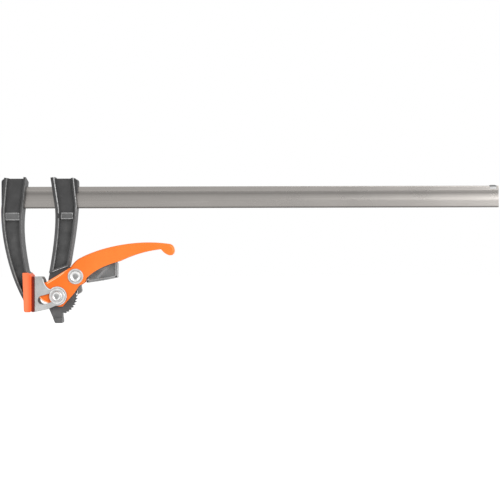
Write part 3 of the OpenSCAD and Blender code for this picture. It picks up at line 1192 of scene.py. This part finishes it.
@dataclass
class FixedJaw:
    """The casting at the rail's end, and the cap on its clamping face."""

    back: float = -43.4
    foot: float = -25.1
    block: Flat = (6, 26)
    block_drop: float = 9.7
    cap_half: float = 28.1
    cap_side: float = 15
    cap_depth: float = 12.5
    cap_face: float = 3
    cap_room: float = 12.05

    def casting(self) -> Piece:
        """Models the casting.

        Returns:
            The casting.
        """
        left = [(-38.7, 163.6)] + bezier((-43, 118), (-43.6, 74), (-30, 22), (-12, -10), 30)
        left += [(-8.5, self.foot)]
        right = [(-7.4, 164.4)] + bezier((-12.4, 120), (-16.5, 88), (-12.5, 62), (-6.5, 29.6), 26)
        right += [(-3, 26.6), (-3, self.foot)]
        cast = Casting(left, right)
        piece = cast.flange("fixed_jaw_casting", 1)
        merge(piece, [
            cast.flange("flange", -1),
            cast.slab(cast.sleeve_top, cast.sleeve_bottom, cast.sleeve_half),
            paint(cast.slab(cast.sleeve_bottom + 1, self.foot, cast.web_half), Slot.WEB),
            cast.nose(self.back, 1, cast.sleeve_bottom),
            cast.block(self.back, self.block, self.block_drop),
        ])
        merge(piece, [cast.pocket(0.0), self.fall()], "DIFFERENCE")
        return piece

    def fall(self) -> Piece:
        """Makes the cutter that lets the right flange's top fall away towards the back."""
        ring = [(-13, 164.6), (13, 158.1), (13, 172.6), (-13, 172.6)]
        return Loft("fall", [[Vector((x, y, z)) for y, z in ring] for x in (-11.5, 8.5)]).piece

    def cap(self) -> Piece:
        """Models the cap.

        Returns:
            The cap.
        """
        half, depth = self.cap_half, self.cap_depth
        outline = [(-depth, half), (-4, half), (0, half - 4)]
        outline += arc((-3, -half + 3), 3, 0, -90, 6) + arc((-depth + 5, -half + 3), 3, -90, -180, 6)
        piece = plate("jaw_cap", outline, -self.cap_side, self.cap_side)
        soften(piece, 1.1, 4)
        face, room = self.cap_face, self.cap_room
        hollow = [(-depth - 5, half + 5), (-face, half + 5), (-face, face - half), (-depth - 5, face - half)]
        merge(piece, [plate("hollow", hollow, -room, room)], "DIFFERENCE")
        return piece

    def build(self) -> None:
        """Models and dresses the jaw and its cap."""
        edge, rim = RubbedEdgeAndHighlight("jaw_edge"), RubbedEdgeAndHighlight("jaw_rim", grey(0.06), grey(0.125))
        dress(self.casting(), "fixed_jaw", Body.ROOT, Finishes.casting(edge, rim))
        # The cap is redder and darker beside the clamping face: painted shade.
        plastic = SatinCoat(
            "cap_plastic", (0.98, 0.22, 0.085), (0.92, 0.185, 0.065), (0.42, 0.55), 700, 0.03, 0.0,
            ends=(-1, -6), deep=(0.92, 0.55, 0.3),
        ).make()
        dress(self.cap(), "fixed_jaw_cap", Body.ROOT, [plastic])


@dataclass
class SlidingArm:
    """The casting that slides on the rail, with its tongue, ratchet and foot."""

    tip: float = 27.1
    depth: float = 2.8
    pitch: float = 9.6
    first: float = 1.6
    teeth: int = 8
    drop: float = 38.7
    tongue_half: float = 5.5
    bore: float = 5.8
    gap: float = 0.3
    left_rim: float = 5.4
    left_root: float = 5.8
    web_end: float = 33
    foot_half: float = 8
    lug: float = 29.4
    lug_rise: float = 21.7
    block: Flat = (5.2, 22.7)
    block_drop: float = 8.2
    dent: Flat = (0.8, 5.2)
    dent_heights: Flat = (105.8, 112.4)
    ledge_slope: float = 0.3735

    def lines(self) -> tuple[Line, Line]:
        """Gives the outer edges of the two flanges, from the top down.

        Returns:
            The left flange's edge and the right one's.
        """
        left = [(-9, 168.9)] + bezier((-2.5, 125.3), (-0.7, 101.3), (-4.8, 67.3), (-11.3, 32.5), 26)
        right = [(23.9, 168.7)] + bezier((28.1, 129), (27.2, 105.3), (21.7, 71.3), (16.5, 42.9), 26)
        return moved(left, AT.pivot), moved(right, AT.pivot)

    def ratchet(self) -> Line:
        """Gives the tooth line from the lowest tooth up.

        Returns:
            The line, counted from the pivot.
        """
        root, line = self.tip - self.depth, []
        for k in range(self.teeth - 1, -1, -1):
            a = self.first - k * self.pitch
            line += [polar(root, a - self.pitch + 0.8), polar(self.tip, a - 1), polar(self.tip, a)]
        return line + [polar(root, self.first + 0.8)]

    def tongue(self) -> Line:
        """Gives the outline of the tongue.

        Returns:
            The outline.
        """
        drop = self.drop
        line = [
            (16.5, 42.9), (-11.3, 32.5), (-13.4, 24), (-13.4, 6), (-12.2, -8), (-12.2, -18.7),
            (-4.6, -drop + 2.2), (-3.6, -drop), (6.4, -drop), (7.2, -drop + 1.7), (6.5, -26.4),
        ]
        line += self.ratchet() + arc((0, 0), self.tip, self.first + self.pitch - 1, 58, 8)
        return moved(line, AT.pivot)

    def foot(self) -> Piece:
        """Models the foot at the tongue's end.

        Returns:
            The foot.
        """
        low, half = -self.drop, self.foot_half
        outline = [(-4.6, low + 2.2), (-3.6, low), (6.4, low), (7.2, low + 1.7)]
        outline += [(6.8, low + 7.7), (-6.6, low + 7.2)]
        piece = plate("foot", moved(outline, AT.pivot), -half, half)
        soften(piece, 0.8, 3)
        return piece

    def ledge(self) -> Piece:
        """Models the ledge that closes the flanges above the tongue, lighter along its lower edge: a painted
        highlight with rubbed wear.

        Returns:
            The ledge.
        """
        outline = [(-11.3, 32.5), (16.5, 42.9), (15.45, 45.7), (-10.8, 35.88)]
        piece = plate("ledge", moved(outline, AT.pivot), -Casting.half_width, Casting.half_width)
        slope = self.ledge_slope
        rise = AT.pivot[1] + 32.5 - slope * (AT.pivot[0] - 11.3)

        def low(edge: bmesh.types.BMEdge, _ring: bmesh.types.BMLayerItem) -> bool:
            """Tells whether an edge is sharp and lies on the ledge's lower line.

            Args:
                edge: The edge.
                _ring: The layer of ring numbers, which this test leaves aside.

            Returns:
                True for such an edge.
            """
            sharp = edge.calc_face_angle(0) > math.radians(40)
            ends = [vertex.co / MM for vertex in edge.verts]
            return sharp and all(abs(p.z - slope * p.x - rise) < 0.6 for p in ends)

        bevel_edges(piece, low, 0.9, 2, Slot.BLOCK_EDGE, False)
        return piece

    def casting(self) -> Piece:
        """Models the casting.

        Returns:
            The casting.
        """
        px = AT.pivot[0]
        cast = Casting(*self.lines(), left_rim=self.left_rim, left_root=self.left_root)
        piece = cast.flange("arm_casting", 1)
        merge(piece, [cast.flange("flange", -1)])
        below = moved([(-40, 21.77), (40, 51.7), (40, -60), (-40, -60)], AT.pivot)
        tongue = plate("tongue", self.tongue(), -self.tongue_half, self.tongue_half)
        soften(tongue, 0.3, 2)
        merge(piece, [plate("below", below, -20, 20)], "DIFFERENCE")
        merge(piece, [
            cast.slab(cast.sleeve_top, cast.sleeve_bottom, cast.sleeve_half),
            paint(cast.slab(cast.sleeve_bottom + 1, self.web_end, cast.web_half), Slot.WEB),
            cast.nose(px + self.lug, -1, AT.rail_z0 + self.lug_rise),
            cast.block(px, self.block, self.block_drop),
            self.ledge(), tongue, self.foot(),
        ])
        (x0, x1), (z0, z1) = self.dent, self.dent_heights
        dents = []
        for y in (-cast.half_width, cast.half_width):
            dents.append(paint(box("dent", (px + x0, y - 2, z0), (px + x1, y + 2, z1)), Slot.WEB))
        merge(piece, [cast.pocket(self.gap), bore(AT.pivot, self.bore, 64), *dents], "DIFFERENCE")
        return piece

    def build(self) -> None:
        """Models and dresses the arm."""
        # The arm's edges are lighter than its coat, rubbed and with a painted highlight, and darker below the
        # sleeve's height, the right flange's outer edge much darker there: painted shade.
        edge = RubbedEdgeAndHighlight("arm_edge", grey(0.2), grey(0.42), stops=((0.72, 0.55), (0.78, 0.95), (1.0, 1.0)))
        rim = RubbedEdgeAndHighlight("arm_rim", grey(0.2), grey(0.42), stops=((0.72, 0.22), (0.78, 0.9), (1.0, 0.95)))
        dress(self.casting(), "sliding_arm", Body.ARM, Finishes.casting(edge, rim))


@dataclass
class Lever:
    """The pressed lever: two cam plates and a rounded spine."""

    reach: float = 30.4
    travel: float = 16
    swing: float = 67.2
    length: float = 167
    bulb: float = 6.1
    bulb_z: float = 63.8
    sheet: float = 2.5
    bend: float = 3.4
    bore: float = 5.88
    rivet_bore: float = 3.5

    def cam(self, swing: float) -> Flat:
        """Gives the cam's point that touches the shoe at a swing in degrees.

        Args:
            swing: The swing.

        Returns:
            The point, counted from the pivot.
        """
        rate = self.travel / math.radians(self.swing)
        height = self.reach - rate * math.radians(swing)
        a = math.radians(180 + swing)
        return (height * math.cos(a) + rate * math.sin(a), height * math.sin(a) - rate * math.cos(a))

    def spine_line(self) -> Line:
        """Gives the spine's line, from the ledge over the far end and round it.

        Returns:
            The line, counted from the pivot.
        """
        end = self.length
        line = bezier((17.3, 40), (21.8, 45.4), (25.4, 51.2), (32.8, 54.6), 8)
        line += bezier((32.8, 54.6), (62, 70), (end - 53, 81.3), (end - 7, 74.1), 26)[1:]
        line += bezier((end - 7, 74.1), (end - 2.6, 73.1), (end, 69.2), (end, self.bulb_z), 8)[1:]
        return line + arc((end - self.bulb, self.bulb_z), self.bulb, 0, -60, 6)[1:]

    def bottom(self) -> Line:
        """Gives the lower edge, from the far end back to the trigger.

        Returns:
            The edge, counted from the pivot.
        """
        end = self.length
        line = bezier((end - 9.6, 58.7), (end - 12.6, 59.6), (end - 16.2, 62.6), (end - 19, 66.5), 5)
        line += bezier((end - 19, 66.5), (end - 41, 64.3), (108, 58.6), (89.2, 49.9), 12)[1:]
        return line + bezier((89.2, 49.9), (73, 44.8), (56.5, 40), (42.3, 26.2), 12)[1:]

    def outline(self) -> Line:
        """Gives the outline of a cam plate.

        Returns:
            The outline.
        """
        low, start = self.cam(self.swing), self.cam(0)
        cams = [self.cam(self.swing * i / 20) for i in range(20, -1, -1)]
        tail = arc((self.length - self.bulb, self.bulb_z), self.bulb, -62, -112, 5)
        line = [(-16, 19.7), (17.3, 40)] + beside(self.spine_line(), 0.2 - self.bend) + tail
        line += self.bottom() + [(39, 19.9), (30.4, 13.8), (24.3, 4.5), (7.3, -14.9), (1.9, -14.9)]
        line += [polar(7, self.swing - 90, low)]
        return moved(line + cams + [(start[0] + 1.2, start[1] + 4.2)], AT.pivot)

    def spine(self) -> Piece:
        """Models the spine with its two rounded bends, which end inside the plates.

        Returns:
            The spine.
        """
        half, r, sheet = AT.lever_y1, self.bend, self.sheet
        turns = [math.radians(15 * i) for i in range(6, -1, -1)]
        side = [(r - r * math.sin(a), -half + r - r * math.cos(a)) for a in turns]
        side += [(r + 1, -half + 0.4), (r + 1, -half + sheet - 0.4)]
        side += [(r + 0.2, -half + sheet), (sheet, -half + r)]
        ring = side + [(s, -y) for s, y in reversed(side)]
        line = moved(self.spine_line(), AT.pivot)
        rows = []
        for (x, z), (u, v) in zip(line, beside(line, -1)):
            rows.append([Vector((x + s * (u - x), y, z + s * (v - z))) for s, y in ring])
        return Loft("lever_spine", rows).piece

    def shell(self) -> Piece:
        """Models the whole lever.

        Returns:
            The lever.
        """
        near = plate("lever_shell", self.outline(), -AT.lever_y1, -AT.lever_y0)
        far = plate("far_plate", self.outline(), AT.lever_y0, AT.lever_y1)
        merge(near, [far, self.spine()])
        merge(near, [bore(AT.pivot, self.bore, 64), bore(AT.rivet, self.rivet_bore)], "DIFFERENCE")
        soften(near, 0.45, 2, -1, 50)
        # Light bands along the cam's edge, the crest of the bend and the brow, in the edge finish: painted
        # highlights.
        cam = [self.cam(self.swing * i / 20) for i in range(9, 21)] + [(-13.5, -10.2)]
        crest = [(-14.4, 18), (-3.8, 24.3), (2.2, 28.1), (9.9, 33.9)]
        brow = [(-15.2, 20.19), (14, 37.99)]
        for line, offsets in ((cam, (0.5, 1.6)), (crest, (0.55, -0.55)), (brow, (-0.5, -1))):
            lay_band(near, line, offsets, AT.lever_y1, Slot.EDGE)
        return near

    def build(self) -> None:
        """Models and dresses the lever."""
        coat = SatinCoat(
            "lever_coat", (0.94, 0.21, 0.028), (0.9, 0.183, 0.02), ends=(35, 90), deep=(0.96, 0.8, 0.35)
        ).make()
        # The bands' light finish: painted highlight.
        highlight_finish = SatinCoat("lever_edge_painted_highlight", (1.0, 0.56, 0.3), (1.0, 0.45, 0.18), (0.3, 0.4), 420, 0.02).make()
        dress(self.shell(), "lever", Body.LEVER, [coat, highlight_finish])


@dataclass
class Trigger:
    """The release trigger with its pawl, its spring and the rivet that it turns on."""

    hub: float = 7.5
    bore: float = 3.58
    half: float = 5.7
    web_half: float = 3.7
    well: float = 8
    well_floor: float = 1.5
    well_end: float = 20
    core: float = 4.6
    head: float = 11.2
    shank: float = 3.5
    wire: float = 0.45
    coil: float = 5.6

    def under(self) -> Line:
        """Gives the finger plate's lower edge."""
        return bezier((41.6, 18.4), (52, 20), (66, 21.5), (85.6, 25.9), 14)

    def handle(self) -> Piece:
        """Models the trigger.

        Returns:
            The trigger.
        """
        at, half = AT.pivot, self.half
        pawl = [
            (20.8, 23), (26, 16), (26.9, 10.6), (27.5, 9), (28.45, 6.4), (28.65, 4.9), (27.42, 1.55),
            (33.1, 4.8), (34.2, 7.7), (33.1, 13.4), (33.4, 21.2),
        ]
        under = self.under()
        web = [(24, 35.2), (29, 37.2), (50, 44), (84, 48.2), (85.8, 46.4)]
        web += under[::-1] + [(40.7, 23.4), (31, 20.5)]
        piece = turned("trigger_body", AT.rivet, [(self.hub, -half), (self.hub, half)])
        nose = plate("pawl", moved(pawl, at), -half + 0.4, half - 0.4)
        soften(nose, 0.4, 2)
        middle = plate("web", moved(web, at), -self.web_half, self.web_half)
        rims = [
            under + beside(under, 3.5)[::-1],
            [(82.1, 26), (85.6, 25.9), (85.8, 46.4), (84, 48.2), (82.1, 48)],
            [(41.6, 18.4), (45.1, 21), (44.2, 25), (40.7, 23.4)],
        ]
        bodies = [nose, middle]
        for rim in rims:
            body = paint(plate("rim", moved(rim, at), -half, half), Slot.FACE)
            soften(body, 0.5, 2, Slot.EDGE)
            bodies.append(body)
        merge(piece, bodies)
        well = turned("well", AT.rivet, [(self.well, self.well_floor), (self.well, self.well_end)])
        merge(well, [turned("core", AT.rivet, [(self.core, 0), (self.core, ACROSS)])], "DIFFERENCE")
        merge(piece, [well, bore(AT.rivet, self.bore)], "DIFFERENCE")
        return piece

    def spring(self) -> Piece:
        """Models the coil spring round the hub's core, with its two legs.

        Returns:
            The spring.
        """
        x, z = AT.rivet
        first, turns, pitch = 185, 2 + 85 / 360, 2 * self.wire + 0.45

        def coil(a: float) -> Vector:
            """Gives the point of the coil at an angle."""
            u, v = polar(self.coil, a)
            return Vector((x + u, self.well_floor + self.wire * 1.4 + pitch * (a - first) / 360, z + v))

        last = first + 360 * turns
        tangent = Vector((math.cos(math.radians(first - 90)), 0, math.sin(math.radians(first - 90))))
        path = [coil(first) + 10 * tangent, coil(first) + 2 * tangent]
        path += [coil(first + 10 * k) for k in range(int((last - first) / 10) + 1)]
        path += [coil(last) + Vector((3, 0, 0.1)), coil(last) + Vector((14, 0, 0.6))]
        rows = []
        for i, point in enumerate(path):
            along = (path[min(i + 1, len(path) - 1)] - path[max(i - 1, 0)]).normalized()
            side = along.cross(Vector((0, 1, 0))).normalized()
            up = side.cross(along)
            circle = [polar(self.wire, 36 * k) for k in range(10)]
            rows.append([point + u * side + v * up for u, v in circle])
        return Loft("return_spring", rows).piece

    def build(self) -> None:
        """Models and dresses the trigger, its spring and its rivet."""
        coat = CastCoat("trigger_coat", grey(0.12), grey(0.175), 700, (0.35, 0.5), 0.2, stops=EVEN).make()
        # The border's edges take a light finish, rubbed and with a painted highlight, and the border itself a
        # lighter copy of the coat: painted highlight.
        highlight_finish = RubbedEdgeAndHighlight("trigger_edge", grey(0.3), grey(0.5)).make()
        rims = CastCoat("trigger_border_painted_highlight", grey(0.18), grey(0.26), 700, (0.35, 0.5), 0.3, stops=EVEN).make()
        dress(self.handle(), "release_trigger", Body.TRIGGER, [coat, highlight_finish, rims])
        wire = TurnedSteel("spring_wire", AT.rivet, grey(0.3), grey(0.45)).make()
        dress(self.spring(), "trigger_spring", Body.TRIGGER, [wire], 60)
        # Rings of brightness round the rivet's axis: painted highlights on its raised ring and brim, painted
        # shade at its centre and in the groove between.
        zones = (
            (0.0, 0.4), (0.28, 0.45), (0.36, 0.72), (0.44, 1.0), (0.6, 0.95), (0.66, 0.5), (0.72, 0.66),
            (0.88, 0.78), (0.96, 0.6),
        )
        steel = TurnedSteel("rivet_steel", AT.rivet, zones=zones).make()
        pin = rivet("trigger_pin", AT.rivet, AT.lever_y1, self.head, self.shank)
        dress(pin, "trigger_rivet", Body.LEVER, [steel])


@dataclass
class Shoe:
    """The pressed shoe that carries the pad, and the pad."""

    front: float = 3.1
    wall: float = 2.5
    side: float = 2.0
    pad: float = 2.8
    top: float = 27.6
    bottom: float = -22.8
    bend: float = 2.6
    slope: float = 15
    slot: float = 6.2
    slot_length: float = 22.16
    eye: float = 13.7
    stock: float = 50

    def channel(self) -> Piece:
        """Models the bent sheet before its outline is cut.

        Returns:
            The bent sheet.
        """
        x0, x1, half, r = self.front, self.front + self.stock, AT.shoe_y1, self.bend
        inner = r - self.side
        turns = [math.radians(15 * i) for i in range(7)]
        ring = [(x1, -half)] + [(x0 + r - r * math.sin(t), -half + r - r * math.cos(t)) for t in turns]
        ring += [(x, -y) for x, y in reversed(ring)]
        bend_x = x0 + self.wall + inner
        back = [(bend_x - inner * math.sin(t), -half + r - inner * math.cos(t)) for t in reversed(turns)]
        ring += [(x1, half - self.side)] + [(x, -y) for x, y in reversed(back)]
        ring += back + [(x1, -half + self.side)]
        base = AT.pivot[1]
        rows = [[Vector((x, y, base + z)) for x, y in ring] for z in (self.bottom, self.top)]
        return Loft("shoe_channel", rows).piece

    def outline(self) -> Line:
        """Gives the side plates' outline.

        Returns:
            The outline.
        """
        x0 = self.front - AT.pivot[0] - 1
        line = [(x0, self.bottom), (x0, self.top + 1), (-22, self.top + 1), (-22, self.top)]
        line += self.neck() + arc((0, 0), self.eye, 116, -97, 30) + [(-11.8, -18.2), (x0 + 1, self.bottom)]
        return moved(line[1:], AT.pivot)

    @staticmethod
    def neck() -> Line:
        """Gives the hollow edge between the front and the eye."""
        return bezier((-19.7, 24.3), (-18, 18), (-16.5, 12.8), (-9.6, 9.8), 12)

    def slot_cutter(self) -> Piece:
        """Makes the cutter for the sloping slots.

        Returns:
            The cutter.
        """
        ring = arc((0, 0), self.slot, -90, 90, 16) + arc((-self.slot_length, 0), self.slot, 90, 270, 16)
        turn = Matrix.Rotation(math.radians(self.slope), 2)
        line = [tuple(turn @ Vector(p)) for p in ring]
        return plate("slot", moved(line, AT.pivot), -ACROSS, ACROSS)

    def shell(self) -> Piece:
        """Models the shoe.

        Returns:
            The shoe.
        """
        piece = self.channel()
        merge(piece, [plate("outline", self.outline(), -ACROSS, ACROSS)], "INTERSECT")
        merge(piece, [self.slot_cutter()], "DIFFERENCE")
        soften(piece, 0.35, 2, angle=50)
        # Faces that look downwards take a darker finish: painted shade.
        paint(piece, Slot.EDGE, lambda normal: normal.z < -0.3)
        # A light band just inside the edges of the neck and the eye: painted highlight.
        lit_edge_line = self.neck() + arc((0, 0), self.eye, 116, -70, 26)
        lay_band(piece, lit_edge_line, (-0.4, -1.3), AT.shoe_y1, Slot.FACE)
        return piece

    def face(self) -> Piece:
        """Models the pad.

        Returns:
            The pad.
        """
        base, half = AT.pivot[1], AT.shoe_y1
        low = (self.front - self.pad, -half, base + self.bottom)
        piece = box("shoe_face", low, (self.front, half, base + self.top))
        soften(piece, 0.6, 3)
        return piece

    def build(self) -> None:
        """Models and dresses the shoe and its pad."""
        # The darker finish for the faces that look downwards: painted shade.
        cut = ZincSheet("underside_painted_shade", grey(0.16), grey(0.26)).make()
        # The light band's finish: a painted highlight with rubbed wear.
        rim = RubbedEdgeAndHighlight("shoe_edge_painted_highlight", grey(0.6), grey(0.8)).make()
        dress(self.shell(), "pressure_shoe", Body.SHOE, [ZincSheet().make(), cut, rim])
        # The pad is dark red, and darker again towards the shoe: partly its own colour and partly painted
        # shade.
        plastic = SatinCoat(
            "pad_plastic", (0.24, 0.018, 0.006), (0.19, 0.013, 0.004), (0.45, 0.6), 700, 0.03, 0.0,
            ends=(3.1, 0.8), deep=(0.7, 0.65, 0.6),
        ).make()
        dress(self.face(), "shoe_pad", Body.SHOE, [plastic])


@dataclass
class Pivot:
    """The lower pivot: bush, two washers and the rivet that holds them."""

    bush: float = 5.8
    shank: float = 4.2
    washer: float = 11
    rolled: float = 0.4
    head: float = 7.5
    dish: float = 1.2

    def ring(self, name: str, profile: Line) -> Piece:
        """Turns a piece about the pivot and bores it for the rivet.

        Args:
            name: Name of the piece.
            profile: Pairs of a radius and a depth.

        Returns:
            The piece.
        """
        piece = turned(name, AT.pivot, profile, 64)
        merge(piece, [bore(AT.pivot, self.shank)], "DIFFERENCE")
        return piece

    def washer_ring(self, name: str, y0: float, y1: float) -> Piece:
        """Models a washer with rolled edges, between two depths."""
        r, e = self.washer, self.rolled
        return self.ring(name, [(r - e, y0), (r, y0 + e), (r, y1 - e), (r - e, y1)])

    def build(self) -> None:
        """Models and dresses the pivot."""
        # Rings of brightness round the pivot: painted highlights on the rivet's ring and on the washers,
        # painted shade at the centre and between.
        zones = (
            (0.0, 0.45), (0.3, 0.5), (0.36, 0.95), (0.44, 1.0), (0.5, 0.55), (0.58, 0.9), (0.64, 0.6),
            (0.78, 0.75), (0.86, 1.0), (0.93, 0.75),
        )
        steel = TurnedSteel("pivot_steel", AT.pivot, zones=zones).make()
        dark = TurnedSteel("bush_steel", AT.pivot, grey(0.16), grey(0.28), (0.3, 0.45)).make()
        pin = rivet("pivot_pin", AT.pivot, AT.washer_y1, self.head, self.shank, self.dish)
        dress(pin, "pivot_rivet", Body.ARM, [steel])
        sleeve = self.ring("pivot_sleeve", [(self.bush, -AT.washer_y0), (self.bush, AT.washer_y0)])
        dress(sleeve, "pivot_bush", Body.ARM, [dark])
        front = self.washer_ring("front_washer", -AT.washer_y1, -AT.washer_y0)
        back = self.washer_ring("back_washer", AT.washer_y0, AT.washer_y1)
        dress(front, "pivot_washer_front", Body.ARM, [steel])
        dress(back, "pivot_washer_back", Body.ARM, [steel])


# Studio


@dataclass
class Softbox:
    """A large soft lamp."""

    name: str
    place: Point
    aim: Point
    width: float
    height: float
    power: float

    def light(self) -> None:
        """Hangs the lamp and turns it to its aim."""
        bpy.ops.object.light_add(type="AREA", location=self.place)
        lamp = bpy.context.active_object
        lamp.name = self.name
        lamp.data.shape = "RECTANGLE"
        lamp.data.size, lamp.data.size_y = self.width, self.height
        lamp.data.energy = self.power
        lamp.rotation_euler = (Vector(self.aim) - Vector(self.place)).to_track_quat("-Z", "Y").to_euler()


@dataclass
class Studio:
    """White room, pale floor, soft lamps and the camera. Its places are in metres."""

    middle: Point = (0.25, 0.0, 0.06)
    camera_place: Point = (0.3113, -1.55, 0.0597)
    lens: float = 77.8
    sensor: float = 36
    roll: float = 0.15
    ambient: float = 0.62
    floor_size: float = 14
    floor_x: float = 0.31
    floor_level: float = 0.86
    floor_lift: float = 0.52

    def room(self) -> None:
        """Sets the world: even light, and white to the camera and to reflections."""
        world = bpy.data.worlds.new("studio")
        bpy.context.scene.world = world
        tree, white = Tree(world), (1, 1, 1, 1)
        fill = tree.add("ShaderNodeBackground", Color=white, Strength=self.ambient)
        plain = tree.add("ShaderNodeBackground", Color=white, Strength=1.0)
        tree.show(fill, plain, tree.add("ShaderNodeOutputWorld"))

    def floor(self) -> None:
        """Lays the pale floor below the reach of the swung lever."""
        bpy.ops.mesh.primitive_plane_add(size=self.floor_size, location=(self.floor_x, 0, AT.ground * MM))
        ground = bpy.context.active_object
        ground.name = "floor"
        material = bpy.data.materials.new("pale_floor")
        tree = Tree(material)
        pale = tree.add("ShaderNodeBsdfDiffuse", Color=(*grey(self.floor_level), 1))
        lift = tree.add("ShaderNodeEmission", Strength=self.floor_lift)
        both = tree.add("ShaderNodeAddShader")
        tree.join(pale, "BSDF", both, 0)
        tree.join(lift, "Emission", both, 1)
        tree.show(pale, both, tree.add("ShaderNodeOutputMaterial"))
        ground.data.materials.append(material)

    def lamps(self) -> None:
        """Hangs the soft lamps."""
        Softbox("key_lamp", (1.1, -1.3, 1.3), self.middle, 1.2, 1.0, 12).light()
        Softbox("right_lamp", (1.9, -0.3, 0.5), self.middle, 1.0, 1.2, 12).light()
        Softbox("left_lamp", (-1.2, -0.9, 0.7), self.middle, 1.0, 1.0, 5).light()
        Softbox("end_lamp", (1.76, -1.97, 0.74), (1.0, 0.0, 0.3), 0.9, 1.0, 18).light()

    def camera(self) -> None:
        """Stands the camera where the photograph was taken from."""
        turn = (math.radians(90), math.radians(self.roll), 0)
        bpy.ops.object.camera_add(location=self.camera_place, rotation=turn)
        camera = bpy.context.active_object
        camera.name = "photo_camera"
        camera.data.lens = self.lens
        camera.data.sensor_width = self.sensor
        bpy.context.scene.camera = camera

    def build(self) -> None:
        """Sets up the whole studio."""
        self.room()
        self.floor()
        self.lamps()
        self.camera()
        bpy.context.scene.view_settings.view_transform = "Standard"


def main() -> None:
    """Loads the frame, builds each sub-assembly over it and sets up the studio."""
    logging.basicConfig(level=logging.INFO, format="%(name)s: %(message)s")
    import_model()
    Studio().build()
    for assembly in (Rail(), FixedJaw(), SlidingArm(), Lever(), Trigger(), Shoe(), Pivot()):
        assembly.build()
        LOG.info("%s is built", type(assembly).__name__)


if __name__ == "__main__":
    main()
